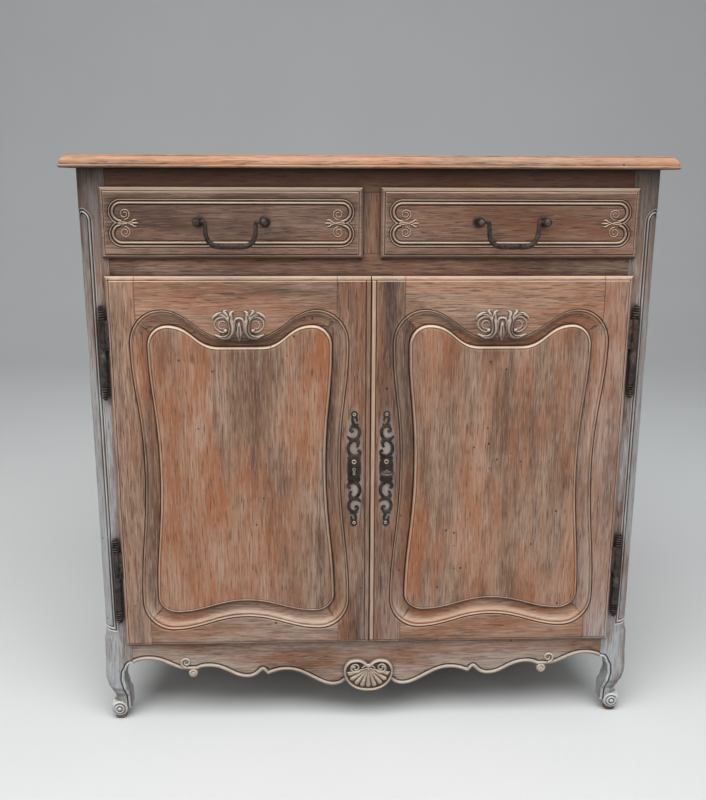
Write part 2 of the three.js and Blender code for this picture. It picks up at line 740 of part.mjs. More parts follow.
function slidingBoltRod(isTop) {
  const end = isTop ? door.top - 17 : door.bottom + 18;
  const z = isTop ? [end - slidingBolt.length, end] : [end, end + slidingBolt.length];
  const x = [-slidingBolt.x - slidingBolt.halfWidth, -slidingBolt.x + slidingBolt.halfWidth];
  const rod = box(x, [slidingBolt.front, slidingBolt.back], z);
  const knobZ = (z[0] + z[1]) / 2;
  const knob = cylinder('y', 4.5, [-slidingBolt.x, 0, knobZ], slidingBolt.back - 1, slidingBolt.back + 11, 12);
  return rod.add(knob);
}

// ---------- assembly ----------

add('top_board', topBoard(), warmOak);
add('frieze_rail', friezeRail(), agedOak);
add('mid_rail', midRail(), agedOak);
add('drawer_divider', drawerDivider(), agedOak);
add('apron_rail', apronRail(), agedOak);
add('back_panel', backPanel(), innerOak);

const dustTop = levels.drawerOpeningBottom + 0.5;
const floorTop = levels.doorOpeningBottom;
add('dust_board', innerBoard([dustTop - boards.dust, dustTop], rail.thickness + gap, panelInner - gap), innerOak);
add('cupboard_shelf', innerBoard([boards.shelfTop - boards.shelf, boards.shelfTop], boards.shelfFront, panelInner - gap), innerOak);
add('cupboard_floor', innerBoard([floorTop - boards.floor, floorTop], rail.thickness + gap, railInner), innerOak);

for (const [name, side] of sides) {
  add(`front_post_${name}`, frontPost(side), limedOak);
  add(`rear_post_${name}`, rearPost(side), agedOak);
  add(`side_top_rail_${name}`, sideTopRail(side), agedOak);
  add(`side_bottom_rail_${name}`, sideBottomRail(side), agedOak);
  add(`side_panel_${name}`, sidePanelBoard(side), agedOak);

  add(`drawer_front_${name}`, drawerFront(side), agedOak);
  add(`drawer_inner_side_${name}`, drawerSide(side, false), innerOak);
  add(`drawer_outer_side_${name}`, drawerSide(side, true), innerOak);
  add(`drawer_back_${name}`, drawerBack(side), innerOak);
  add(`drawer_bottom_${name}`, drawerBottom(side), innerOak);
  add(`handle_post_inner_${name}`, handlePost(side, -side), darkIron);
  add(`handle_post_outer_${name}`, handlePost(side, side), darkIron);
  add(`bail_handle_${name}`, bailHandle(side), darkIron);

  const ring = doorRing(side);
  add(`door_hinge_stile_${name}`, hingeStile(side, ring), agedOak);
  add(`door_meeting_stile_${name}`, meetingStile(side, ring), agedOak);
  add(`door_top_rail_${name}`, ring.intersect(railRegion(side, true)), agedOak);
  add(`door_bottom_rail_${name}`, ring.intersect(railRegion(side, false)), agedOak);
  add(`door_panel_${name}`, doorPanel(side), warmOak);
  add(`escutcheon_${name}`, escutcheonPlate(side), darkIron);
  for (const [place, centreZ] of Object.entries(hingeCentres)) {
    add(`hinge_pin_half_${place}_${name}`, frameHinge(side, centreZ), darkIron);
    add(`hinge_door_half_${place}_${name}`, doorHinge(side, centreZ), darkIron);
  }
}

add('lock_case', lockCase(), darkIron);
add('lock_bolt', lockBolt(), darkIron);
add('key', key(), darkIron);
add('door_bolt_upper', slidingBoltRod(true), darkIron);
add('door_bolt_lower', slidingBoltRod(false), darkIron);

export default dresser;
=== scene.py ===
# Oak sideboard, two drawers over two doors: its surfaces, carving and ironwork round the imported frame
import math

import bmesh
import bpy
import numpy as np
from mathutils import Matrix, Vector


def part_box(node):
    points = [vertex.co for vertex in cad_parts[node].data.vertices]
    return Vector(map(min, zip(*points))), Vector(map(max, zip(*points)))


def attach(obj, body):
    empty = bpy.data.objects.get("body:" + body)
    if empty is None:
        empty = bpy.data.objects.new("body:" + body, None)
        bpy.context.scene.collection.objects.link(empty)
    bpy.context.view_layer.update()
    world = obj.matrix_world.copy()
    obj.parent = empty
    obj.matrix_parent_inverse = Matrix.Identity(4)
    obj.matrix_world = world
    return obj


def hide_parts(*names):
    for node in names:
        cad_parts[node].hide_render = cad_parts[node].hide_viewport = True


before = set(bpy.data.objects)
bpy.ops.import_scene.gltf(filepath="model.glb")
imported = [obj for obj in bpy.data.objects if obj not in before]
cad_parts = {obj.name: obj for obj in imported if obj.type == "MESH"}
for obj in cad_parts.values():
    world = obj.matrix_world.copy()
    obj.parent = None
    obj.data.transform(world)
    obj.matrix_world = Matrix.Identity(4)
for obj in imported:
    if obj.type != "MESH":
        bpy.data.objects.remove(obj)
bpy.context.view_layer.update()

millimetre = 0.001
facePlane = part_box("frieze_rail")[0].y  # front of the face frame; y runs back from here
sideNames = {"left": -1, "right": 1}
print("frame loaded, face plane at", round(facePlane, 4))


def boxOf(node):
    # a node's box in millimetres, with y counted back from the face plane
    low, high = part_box(node)
    shift = Vector((0, facePlane, 0))
    return (low - shift) / millimetre, (high - shift) / millimetre


# ---- meshes: everything is drawn in millimetres and laid into the frame here ----

def creaseEdges(work, angle):
    for face in work.faces:
        face.smooth = True
    limit = math.radians(angle)
    for edge in work.edges:
        edge.smooth = not (len(edge.link_faces) == 2 and edge.calc_face_angle(0) > limit)


def addPiece(name, points, faces, wearAndShading=None, plank=0.0, crease=32):
    mesh = bpy.data.meshes.new(name)
    placed = np.asarray(points, float) * millimetre
    placed[:, 1] += facePlane
    mesh.from_pydata(placed.tolist(), [], faces)
    values = np.zeros(len(placed), np.float32) if wearAndShading is None else np.asarray(wearAndShading, np.float32).ravel()
    mesh.attributes.new("wearAndShading", "FLOAT", "POINT").data.foreach_set("value", values)
    planks = np.full(len(placed), plank, np.float32)
    mesh.attributes.new("plank", "FLOAT", "POINT").data.foreach_set("value", planks)
    work = bmesh.new()
    work.from_mesh(mesh)
    bmesh.ops.remove_doubles(work, verts=work.verts, dist=0.00001)
    bmesh.ops.dissolve_degenerate(work, edges=work.edges, dist=0.00001)
    bmesh.ops.recalc_face_normals(work, faces=work.faces)
    creaseEdges(work, crease)
    work.to_mesh(mesh)
    work.free()
    piece = bpy.data.objects.new(name, mesh)
    bpy.context.scene.collection.objects.link(piece)
    return piece


def joinPieces(name, pieces):
    work = bmesh.new()
    for piece in pieces:
        work.from_mesh(piece.data)
        bpy.data.objects.remove(piece)
    mesh = bpy.data.meshes.new(name)
    work.to_mesh(mesh)
    work.free()
    whole = bpy.data.objects.new(name, mesh)
    bpy.context.scene.collection.objects.link(whole)
    return whole


def slabGrid(name, x, z, front, back, wearAndShading, side=1, plank=0.0):
    # a board whose front follows a grid of points; the rim walls close it against the back
    rows, columns = x.shape
    layer = rows * columns
    points = [np.stack([side * x, y, z], -1).reshape(-1, 3) for y in (front, back)]
    number = np.arange(layer).reshape(rows, columns)
    faces = []
    for i in range(rows - 1):
        for j in range(columns - 1):
            quad = (number[i, j], number[i, j + 1], number[i + 1, j + 1], number[i + 1, j])
            faces.append(tuple(int(k) for k in quad))
            faces.append(tuple(int(k) + layer for k in reversed(quad)))
    rim = [*number[0, :], *number[1:, -1], *number[-1, -2::-1], *number[-2:0:-1, 0]]
    for here, after in zip(rim, rim[1:] + rim[:1]):
        faces.append((int(here), int(after), int(after) + layer, int(here) + layer))
    return addPiece(name, np.vstack(points), faces, np.concatenate([wearAndShading.ravel(), np.zeros(layer)]), plank)


def loopStack(name, loops, wearsAndShadings, plank=0.0, crease=32):
    # closed loops of equal count, skinned one to the next and capped at both ends
    count = len(loops[0])
    faces = []
    for level in range(len(loops) - 1):
        for k in range(count):
            after = (k + 1) % count
            faces.append((level * count + k, level * count + after,
                          (level + 1) * count + after, (level + 1) * count + k))
    faces.append(tuple(range(count)))
    faces.append(tuple(range((len(loops) - 1) * count, len(loops) * count)))
    wearAndShading = np.concatenate([np.broadcast_to(np.asarray(w, float), (count,)) for w in wearsAndShadings])
    return addPiece(name, np.vstack(loops), faces, wearAndShading, plank, crease)


def turned(name, profile, axis, centre, turns=24, crease=40):
    # profile of (radius, height, wear and painted shading) turned about an axis through the centre
    angles = np.linspace(0, 2 * np.pi, turns, endpoint=False)
    loops = []
    for radius, height, _ in profile:
        ring = np.zeros((turns, 3))
        first, second = {"x": (1, 2), "y": (0, 2), "z": (0, 1)}[axis]
        ring[:, first] = radius * np.cos(angles)
        ring[:, second] = radius * np.sin(angles)
        ring[:, "xyz".index(axis)] = height
        loops.append(ring + np.asarray(centre, float))
    return loopStack(name, loops, [w for _, _, w in profile], crease=crease)


def easedBox(name, x, y, z, ease=1.0, plank=0.0):
    insets = [(ease, 0.0), (0.3 * ease, 0.3 * ease), (0.0, ease)]
    steps = insets + [(a, None) for a, _ in reversed(insets)]
    loops = []
    wearsAndShadings = []
    for index, (inset, rise) in enumerate(steps):
        height = z[0] + rise if rise is not None else z[1] - insets[len(steps) - 1 - index][1]
        cut = inset + 0.01
        corners = [(x[0] + cut, y[0] + inset), (x[1] - cut, y[0] + inset), (x[1] - inset, y[0] + cut),
                   (x[1] - inset, y[1] - cut), (x[1] - cut, y[1] - inset), (x[0] + cut, y[1] - inset),
                   (x[0] + inset, y[1] - cut), (x[0] + inset, y[0] + cut)]
        loops.append(np.array([(a, b, height) for a, b in corners]))
        wearsAndShadings.append(0.5 if 0 < index < len(steps) - 1 else 0.2)
    return loopStack(name, loops, wearsAndShadings, plank)


def easedNode(name, node, ease=0.8, plank=0.0):
    # the node's own shape with its arrises eased by hand
    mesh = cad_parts[node].data.copy()
    mesh.name = name
    mesh.materials.clear()
    work = bmesh.new()
    work.from_mesh(mesh)
    bmesh.ops.remove_doubles(work, verts=work.verts, dist=0.00001)
    flat = math.radians(2)
    bmesh.ops.dissolve_limit(work, angle_limit=flat, verts=work.verts, edges=work.edges)
    arrises = [e for e in work.edges if len(e.link_faces) == 2 and e.calc_face_angle(0) > math.radians(25)]
    bmesh.ops.bevel(work, geom=arrises, offset=ease * millimetre, segments=2, profile=0.5,
                    affect="EDGES", clamp_overlap=True)
    bmesh.ops.recalc_face_normals(work, faces=work.faces)
    creaseEdges(work, 32)
    layer = work.verts.layers.float.new("plank")
    for vert in work.verts:
        vert[layer] = plank
    work.to_mesh(mesh)
    work.free()
    piece = bpy.data.objects.new(name, mesh)
    bpy.context.scene.collection.objects.link(piece)
    return piece


def smoothPath(points, steps=6):
    # Catmull-Rom line through given points; extra columns such as a radius go along with it
    p = np.asarray(points, float)
    p = np.vstack([2 * p[0] - p[1], p, 2 * p[-1] - p[-2]])
    line = []
    for k in range(1, len(p) - 2):
        for t in np.linspace(0, 1, steps, endpoint=False):
            a, b, c, d = p[k - 1], p[k], p[k + 1], p[k + 2]
            line.append(0.5 * (2 * b + (c - a) * t + (2 * a - 5 * b + 4 * c - d) * t ** 2
                               + (3 * b - a - 3 * c + d) * t ** 3))
    line.append(p[-2])
    return np.array(line)


def profileAt(table, distance):
    # depth and the wear-and-painted-shading value of a moulding at each distance from its edge
    keys = np.array(table, float)
    return np.interp(distance, keys[:, 0], keys[:, 1]), np.interp(distance, keys[:, 0], keys[:, 2])


# ---- shader wiring ----

class Wire:
    # one output of a node; arithmetic on it adds the nodes that work it out
    def __init__(self, shader, socket):
        self.shader = shader
        self.socket = socket
        self.isValue = socket.type == "VALUE"

    def combine(self, operation, other, flipped=False):
        plain = self.isValue and (isinstance(other, (int, float)) or getattr(other, "isValue", False))
        pair = (other, self) if flipped else (self, other)
        kind = "ShaderNodeMath" if plain else "ShaderNodeVectorMath"
        return self.shader.node(kind, {"operation": operation}, dict(enumerate(pair)))

    def __add__(self, other):
        return self.combine("ADD", other)

    def __radd__(self, other):
        return self.combine("ADD", other, True)

    def __sub__(self, other):
        return self.combine("SUBTRACT", other)

    def __rsub__(self, other):
        return self.combine("SUBTRACT", other, True)

    def __mul__(self, other):
        if self.isValue or not (isinstance(other, (int, float)) or getattr(other, "isValue", False)):
            return self.combine("MULTIPLY", other)
        return self.shader.node("ShaderNodeVectorMath", {"operation": "SCALE"}, {0: self, "Scale": other})

    def __rmul__(self, other):
        return self * other

    def __pow__(self, other):
        return self.combine("POWER", other)

    def clamped(self, low=0.0, high=1.0):
        # brings low..high to 0..1
        settings = {"clamp": True}
        return self.shader.node("ShaderNodeMapRange", settings, {0: self, "From Min": low, "From Max": high})


class Shader:
    def __init__(self, name):
        self.material = bpy.data.materials.new(name)
        self.material.use_nodes = True
        self.tree = self.material.node_tree
        self.tree.nodes.clear()

    def node(self, kind, settings=None, inputs=None, out=0):
        made = self.tree.nodes.new(kind)
        for key, value in (settings or {}).items():
            setattr(made, key, value)
        for key, value in (inputs or {}).items():
            socket = made.inputs[key]
            if isinstance(value, Wire):
                self.tree.links.new(value.socket, socket)
            else:
                socket.default_value = value
        return Wire(self, made.outputs[out])

    def blend(self, base, over, amount, mode="MIX"):
        settings = {"data_type": "RGBA", "blend_type": mode}
        return self.node("ShaderNodeMix", settings, {0: amount, 6: base, 7: over}, out=2)

    def noise(self, place, scale, detail=2.0, roughness=0.5, distortion=0.0):
        inputs = {"Vector": place, "Scale": scale, "Detail": detail,
                  "Roughness": roughness, "Distortion": distortion}
        return self.node("ShaderNodeTexNoise", None, inputs)

    def close(self, surface):
        output = self.tree.nodes.new("ShaderNodeOutputMaterial")
        self.tree.links.new(surface.socket, output.inputs["Surface"])
        return self.material


# noise features per metre, from broad to fine
grainScale = {"cloud": 13.0, "patch": 19, "streak": 60, "fibre": 460, "limedPore": 480, "pore": 520,
              "wormCell": 72, "wormGroup": 9.0}
# how far each is drawn out along the grain
grainStretch = {"cloud": 0.20, "patch": 0.24, "streak": 0.05, "fibre": 0.045, "pore": 0.06}
plateHalo = {"x": 0.028, "z": 0.488, "halfWidth": 0.0165, "halfHeight": 0.118}


def oakFinish(name, grain, look):
    s = Shader(name)
    scale, stretch = grainScale, grainStretch
    place = s.node("ShaderNodeTexCoord", out="Object")
    facing = s.node("ShaderNodeSeparateXYZ", None, {0: s.node("ShaderNodeTexCoord", out="Normal")}, out="Z")
    plank = s.node("ShaderNodeAttribute", {"attribute_name": "plank"}, out="Fac")
    # wear and painted shading from the meshes: above zero rubs pale and takes a painted highlight, below
    # zero darkens grooves with grime and painted shade
    wearAndShading = s.node("ShaderNodeAttribute", {"attribute_name": "wearAndShading"}, out="Fac")
    height = s.node("ShaderNodeSeparateXYZ", None, {0: place}, out="Z")

    def drawnOut(share):
        # features lie long in the direction of the grain
        return place * tuple(share if axis == grain else 1.0 for axis in "xyz")

    shift = s.node("ShaderNodeCombineXYZ", None, {"X": plank * 3.1, "Y": plank * 1.7, "Z": plank * 5.3})
    figure = s.noise(drawnOut(look["figureStretch"]) + shift, look["figureScale"], 1.5, 0.45)
    streak = s.noise(drawnOut(stretch["streak"]) + shift, scale["streak"], 3, 0.6)
    fibre = s.noise(drawnOut(stretch["fibre"]) + shift, scale["fibre"], 3, 0.65)
    ringWave = figure * look["ringCount"] + fibre * 0.45
    rings = s.node("ShaderNodeMath", {"operation": "PINGPONG"}, {0: ringWave, 1: 1.0})
    pores = s.noise(drawnOut(stretch["pore"]), scale["pore"], 2, 0.6).clamped(0.57, 0.66)
    limedPlace = drawnOut(stretch["pore"]) + shift * 2.3
    limedPores = s.noise(limedPlace, scale["limedPore"], 2, 0.6).clamped(0.54, 0.66)
    cloud = s.noise(drawnOut(stretch["cloud"]) + shift, scale["cloud"], 3, 0.6)
    patch = s.noise(drawnOut(stretch["patch"]) + shift * 1.7, scale["patch"], 5, 0.66)

    grainTone = streak.clamped(0.36, 0.64) * 0.42 + fibre.clamped(0.36, 0.64) * 0.32
    tone = grainTone + rings * look["ringDepth"]
    colour = s.blend(look["dark"], look["mid"], tone)
    colour = s.blend(colour, look["warm"], cloud.clamped(0.46, 0.60) * look["warmAmount"])
    shaded = (1 - cloud).clamped(0.52, 0.66) * (1 - streak).clamped(0.35, 0.6)
    colour = s.blend(colour, look["dark"], shaded * 0.7)
    washed = patch.clamped(0.42, 0.62) * (fibre.clamped(0.4, 0.62) * 0.7 + 0.15)
    colour = s.blend(colour, look["wash"], washed * look["washAmount"])
    colour = s.blend(colour, look["wash"], limedPores * look["limedPores"])
    colour = s.blend(colour, look["pore"], pores * look["poreAmount"])

    # pale lime left by stripping, most of it low down; high up, dark wax and painted shade from the top
    # board's overhang
    low = 1 - height.clamped(0.04, look["limeReach"])
    lime = (low + look["limeBase"]) * patch.clamped(0.36, 0.58) * look["limeAmount"]
    colour = s.blend(colour, look["lime"], lime * (fibre.clamped(0.32, 0.6) * 0.7 + 0.3))
    colour = s.blend(colour, look["highWaxAndShade"], height.clamped(0.81, 0.99) * look["highWaxAndShadeAmount"])

    if look["halo"]:
        # lime that settled round the lock plates
        across = s.node("ShaderNodeSeparateXYZ", None, {0: place})
        aside = s.node("ShaderNodeMath", {"operation": "ABSOLUTE"}, {0: across})
        offX = (aside - plateHalo["x"]) * (1 / plateHalo["halfWidth"])
        offZ = (height - plateHalo["z"]) * (1 / plateHalo["halfHeight"])
        away = offX * offX + offZ * offZ
        settled = (1 - away).clamped(0.0, 0.5) * patch.clamped(0.3, 0.55)
        colour = s.blend(colour, look["lime"], settled * look["halo"])

    # upper sides of the carving rub pale and carry a painted highlight from the light above; under sides,
    # corners and grooves get painted shade with some grime
    # how far a surface faces up, which sets the painted highlight and shade below
    up = facing.clamped(-0.15, 0.75)
    colour = s.blend(colour, look["rubbedAndLit"],
                     wearAndShading.clamped(0.0, 0.75) * (fibre * 0.7 + 0.5) * (up * 0.7 + 0.3))
    # painted top light, partly dust: surfaces that face up are lightened
    colour = s.blend(colour, look["rubbedAndLit"], facing.clamped(0.25, 0.85) * (patch * 0.8 + 0.4) * look["dust"])
    # painted shade: surfaces that face down are darkened
    colour = s.blend(colour, look["grimeAndShade"], (facing * -1.0).clamped(0.15, 0.9) * 0.6)
    # painted shade: corners and recesses darkened by occlusion
    corner = s.node("ShaderNodeAmbientOcclusion", {"samples": 6}, {"Distance": 0.016}, out="AO")
    colour = s.blend(colour, look["grimeAndShade"], (1 - corner).clamped(0.15, 0.75) * look["cornerShadeAmount"])
    # grooves darkened, partly grime and partly painted shade
    colour = s.blend(colour, look["grimeAndShade"], (wearAndShading * -1.0).clamped(0.0, 1.0) * 0.8)

    # worm holes, gathered in groups
    spread = place * (1.0, 1.0, 0.7)
    cell = s.node("ShaderNodeTexVoronoi", None, {"Vector": spread, "Scale": scale["wormCell"]})
    pick = s.node("ShaderNodeTexVoronoi", None, {"Vector": spread, "Scale": scale["wormCell"]}, out="Color")
    chosen = s.node("ShaderNodeSeparateColor", None, {0: pick})
    chosen = chosen.clamped(1 - look["worm"], 1.01 - look["worm"])
    gathered = s.noise(place + shift, scale["wormGroup"], 1, 0.5).clamped(0.47, 0.54)
    holes = (1 - cell.clamped(0.08, 0.14)) * chosen * gathered
    colour = s.blend(colour, look["grimeAndShade"], holes * 0.92)

    relief = rings * 0.2 + fibre * 0.7 + streak * 0.4 - pores * 0.8 - holes * 2.0
    normal = s.node("ShaderNodeBump", None, {"Strength": 0.6, "Distance": 0.0007, "Height": relief})
    roughness = 0.60 + fibre * 0.22 + lime * 0.10 - wearAndShading.clamped(0.0, 1.0) * 0.08
    surface = s.node("ShaderNodeBsdfPrincipled", None, {"Base Color": colour, "Roughness": roughness,
                                                        "Normal": normal, "Specular IOR Level": 0.28})
    return s.close(surface)


agedLook = {
    "dark": (0.074, 0.032, 0.019, 1), "mid": (0.240, 0.112, 0.064, 1), "warm": (0.265, 0.092, 0.036, 1),
    "wash": (0.400, 0.275, 0.205, 1), "pore": (0.028, 0.014, 0.010, 1), "lime": (0.350, 0.335, 0.310, 1),
    "rubbedAndLit": (0.680, 0.500, 0.365, 1), "grimeAndShade": (0.012, 0.008, 0.006, 1), "highWaxAndShade": (0.045, 0.024, 0.016, 1),
    "warmAmount": 0.55, "washAmount": 0.62, "limedPores": 0.36, "poreAmount": 0.80, "limeAmount": 0.36,
    "limeBase": 0.04, "limeReach": 0.36, "highWaxAndShadeAmount": 0.55, "dust": 0.6, "cornerShadeAmount": 0.95,
    "figureStretch": 0.10, "figureScale": 7.0, "ringCount": 15.0, "ringDepth": 0.30, "worm": 0.10,
    "halo": 0.0,
}
drawerLook = dict(agedLook, dark=(0.042, 0.019, 0.013, 1), mid=(0.185, 0.090, 0.054, 1),
                  warm=(0.200, 0.072, 0.030, 1), wash=(0.330, 0.222, 0.166, 1), cornerShadeAmount=1.0,
                  limedPores=0.3)
warmLook = dict(agedLook, warm=(0.280, 0.098, 0.038, 1), mid=(0.236, 0.119, 0.070, 1),
                dark=(0.080, 0.037, 0.023, 1), wash=(0.355, 0.252, 0.188, 1), warmAmount=0.75,
                washAmount=0.85, poreAmount=0.6, limeAmount=0.12, figureStretch=0.16, figureScale=4.2,
                ringCount=26.0, ringDepth=0.46, worm=0.42)
carvedLook = dict(warmLook, mid=(0.250, 0.165, 0.118, 1), rubbedAndLit=(0.600, 0.520, 0.440, 1), warmAmount=0.15,
                  worm=0.0)
topLook = dict(agedLook, mid=(0.318, 0.130, 0.061, 1), warm=(0.350, 0.128, 0.048, 1),
               dark=(0.062, 0.027, 0.016, 1), washAmount=0.45, limeAmount=0.0, highWaxAndShadeAmount=0.0, dust=0.0,
               ringDepth=0.42, worm=0.015)
limedLook = dict(agedLook, lime=(0.325, 0.335, 0.345, 1), mid=(0.235, 0.158, 0.114, 1),
                 wash=(0.390, 0.350, 0.310, 1), limeAmount=0.92, limeBase=0.72, limeReach=0.8,
                 washAmount=0.6, rubbedAndLit=(0.620, 0.610, 0.590, 1), warmAmount=0.08, highWaxAndShadeAmount=0.70,
                 worm=0.012)
# the right hinge stile's lime is tinted blue: partly lime, partly painted sky light from the right
skyTintStileLook = dict(agedLook, lime=(0.310, 0.340, 0.375, 1), limeAmount=0.65, limeBase=0.30, warmAmount=0.5)
apronLook = dict(agedLook, lime=(0.365, 0.345, 0.315, 1), limeAmount=0.66, mid=(0.235, 0.130, 0.084, 1),
                 rubbedAndLit=(0.620, 0.530, 0.430, 1), warmAmount=0.35)
shellLook = dict(apronLook, rubbedAndLit=(0.560, 0.465, 0.370, 1), limeAmount=0.25, dust=0.4)
innerLook = dict(agedLook, mid=(0.430, 0.320, 0.200, 1), warm=(0.460, 0.320, 0.180, 1),
                 dark=(0.250, 0.165, 0.095, 1), washAmount=0.15, limeAmount=0.0,
                 rubbedAndLit=(0.520, 0.400, 0.270, 1), highWaxAndShadeAmount=0.1, worm=0.02, limedPores=0.1, dust=0.1,
                 cornerShadeAmount=0.6, poreAmount=0.35, pore=(0.12, 0.075, 0.045, 1))
# the frieze gets more of the high darkening: dark wax and painted shadow under the top board's overhang
friezeWaxAndShadeLook = dict(agedLook, highWaxAndShade=(0.060, 0.025, 0.014, 1), highWaxAndShadeAmount=0.85)
plateLook = dict(drawerLook, lime=(0.330, 0.310, 0.280, 1), halo=0.62)


def ironFinish(name, look):
    s = Shader(name)
    place = s.node("ShaderNodeTexCoord", out="Object")
    wearAndShading = s.node("ShaderNodeAttribute", {"attribute_name": "wearAndShading"}, out="Fac")
    hammer = s.noise(place, 150, 3, 0.55)
    rust = s.noise(place, 34, 4, 0.6)
    corner = s.node("ShaderNodeAmbientOcclusion", {"samples": 4}, {"Distance": 0.006}, out="AO")
    colour = s.blend(look["iron"], look["brown"], rust.clamped(0.45, 0.68) * look["rustAmount"])
    # worn crests show bare metal, lightened further as a painted highlight
    colour = s.blend(colour, look["bare"], wearAndShading.clamped(0.0, 1.0) * hammer.clamped(0.3, 0.75) * 0.7)
    # painted shade: the iron darkened in its corners by occlusion
    colour = s.blend(colour, look["iron"], (1 - corner) * 0.6)
    colour = s.blend(colour, look["pit"], (wearAndShading * -1.0).clamped(0.0, 1.0) * 0.9)
    normal = s.node("ShaderNodeBump", None,
                    {"Strength": 0.5, "Distance": 0.0005, "Height": hammer * 1.2 + rust * 0.6})
    metallic = 0.35 - rust.clamped(0.45, 0.68) * 0.25
    roughness = 0.36 + rust * 0.30
    surface = s.node("ShaderNodeBsdfPrincipled", None,
                     {"Base Color": colour, "Metallic": metallic, "Roughness": roughness, "Normal": normal,
                      "Specular IOR Level": look["shine"]})
    return s.close(surface)


ironLook = {
    "iron": (0.011, 0.009, 0.008, 1), "brown": (0.040, 0.019, 0.012, 1), "bare": (0.210, 0.180, 0.155, 1),
    "pit": (0.005, 0.004, 0.003, 1), "rustAmount": 0.8, "shine": 0.14,
}
nailLook = dict(ironLook, iron=(0.300, 0.255, 0.195, 1), brown=(0.130, 0.085, 0.050, 1),
                bare=(0.560, 0.500, 0.410, 1), shine=0.5)
steelLook = dict(ironLook, iron=(0.030, 0.027, 0.025, 1), brown=(0.045, 0.028, 0.020, 1),
                 bare=(0.300, 0.280, 0.250, 1), shine=0.4)
finishes = {
    "agedUp": oakFinish("agedOakUpright", "z", agedLook),
    "agedAcross": oakFinish("agedOakAcross", "x", agedLook),
    "plateUp": oakFinish("agedOakRoundPlates", "z", plateLook),
    "friezeAcross": oakFinish("friezeOakWaxAndShade", "x", friezeWaxAndShadeLook),
    "agedDeep": oakFinish("agedOakFrontToBack", "y", agedLook),
    "warmUp": oakFinish("warmOakUpright", "z", warmLook),
    "topAcross": oakFinish("warmOakTop", "x", topLook),
    "limedUp": oakFinish("limedOakUpright", "z", limedLook),
    "innerUp": oakFinish("innerOakUpright", "z", innerLook),
    "innerAcross": oakFinish("innerOakAcross", "x", innerLook),
    "innerDeep": oakFinish("innerOakFrontToBack", "y", innerLook),
    "iron": ironFinish("darkIron", ironLook),
    "nail": ironFinish("wornNail", nailLook),
    "steel": ironFinish("wornSteel", steelLook),
    "drawerAcross": oakFinish("darkOakAcross", "x", drawerLook),
    "carvedUp": oakFinish("carvedOak", "z", carvedLook),
    "skyTintStileUp": oakFinish("limedStileOakSkyTint", "z", skyTintStileLook),
    "apronAcross": oakFinish("limedOakAcross", "x", apronLook),
    "shellAcross": oakFinish("carvedShellOak", "x", shellLook),
}
print("finishes ready:", ", ".join(finishes))


def settle(piece, body, finish, slotName, *nodes):
    piece.data.materials.clear()
    piece.data.materials.append(finishes[finish])
    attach(piece, body)
    if nodes:
        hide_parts(*nodes)
    return piece


# ---- geometry node trees ----

def newTree(name, sizes):
    tree = bpy.data.node_groups.new(name, "GeometryNodeTree")
    tree.interface.new_socket("Geometry", in_out="INPUT", socket_type="NodeSocketGeometry")
    for label, kind in sizes:
        tree.interface.new_socket(label, in_out="INPUT", socket_type=kind)
    tree.interface.new_socket("Geometry", in_out="OUTPUT", socket_type="NodeSocketGeometry")
    source = tree.nodes.new("NodeGroupInput")
    sink = tree.nodes.new("NodeGroupOutput")

    def add(kind, settings=None, inputs=None):
        made = tree.nodes.new(kind)
        for key, value in (settings or {}).items():
            setattr(made, key, value)
        for key, value in (inputs or {}).items():
            socket = next((k for k in made.inputs if k.identifier == key), None) or made.inputs[key]
            if isinstance(value, bpy.types.NodeSocket):
                tree.links.new(value, socket)
            else:
                socket.default_value = value
        return made

    def closeWith(geometry):
        real = add("GeometryNodeRealizeInstances", None, {"Geometry": geometry})
        smooth = add("GeometryNodeSetShadeSmooth", None, {"Geometry": real.outputs[0]})
        painted = add("GeometryNodeSetMaterial", None,
                      {"Geometry": smooth.outputs[0], "Material": source.outputs["Material"]})
        tree.links.new(painted.outputs[0], sink.inputs["Geometry"])

    return tree, source, add, closeWith


def beadTree():
    # a round bead along each line, as thick at each point as the line says, pressed flat towards a plane
    sizes = [("Plane", "NodeSocketFloat"), ("Flatness", "NodeSocketFloat"),
             ("Sides", "NodeSocketInt"), ("Material", "NodeSocketMaterial")]
    tree, source, add, closeWith = newTree("beadAlongLine", sizes)
    line = add("GeometryNodeMeshToCurve", None, {"Mesh": source.outputs["Geometry"]})
    section = add("GeometryNodeCurvePrimitiveCircle", None,
                  {"Resolution": source.outputs["Sides"], "Radius": 1.0})
    radius = add("GeometryNodeInputNamedAttribute", {"data_type": "FLOAT"}, {"Name": "beadRadius"})
    bead = add("GeometryNodeCurveToMesh", None,
               {"Curve": line.outputs[0], "Profile Curve": section.outputs[0],
                "Scale": radius.outputs[0], "Fill Caps": True})
    # y' = flatness * y + plane * (1 - flatness)
    rest = add("ShaderNodeMath", {"operation": "SUBTRACT"}, {0: 1.0, 1: source.outputs["Flatness"]})
    moved = add("ShaderNodeMath", {"operation": "MULTIPLY"},
                {0: rest.outputs[0], 1: source.outputs["Plane"]})
    offset = add("ShaderNodeCombineXYZ", None, {"Y": moved.outputs[0]})
    scale = add("ShaderNodeCombineXYZ", None, {"X": 1.0, "Y": source.outputs["Flatness"], "Z": 1.0})
    pressed = add("GeometryNodeTransform", None,
                  {"Geometry": bead.outputs[0], "Translation": offset.outputs[0], "Scale": scale.outputs[0]})
    closeWith(pressed.outputs[0])
    return tree


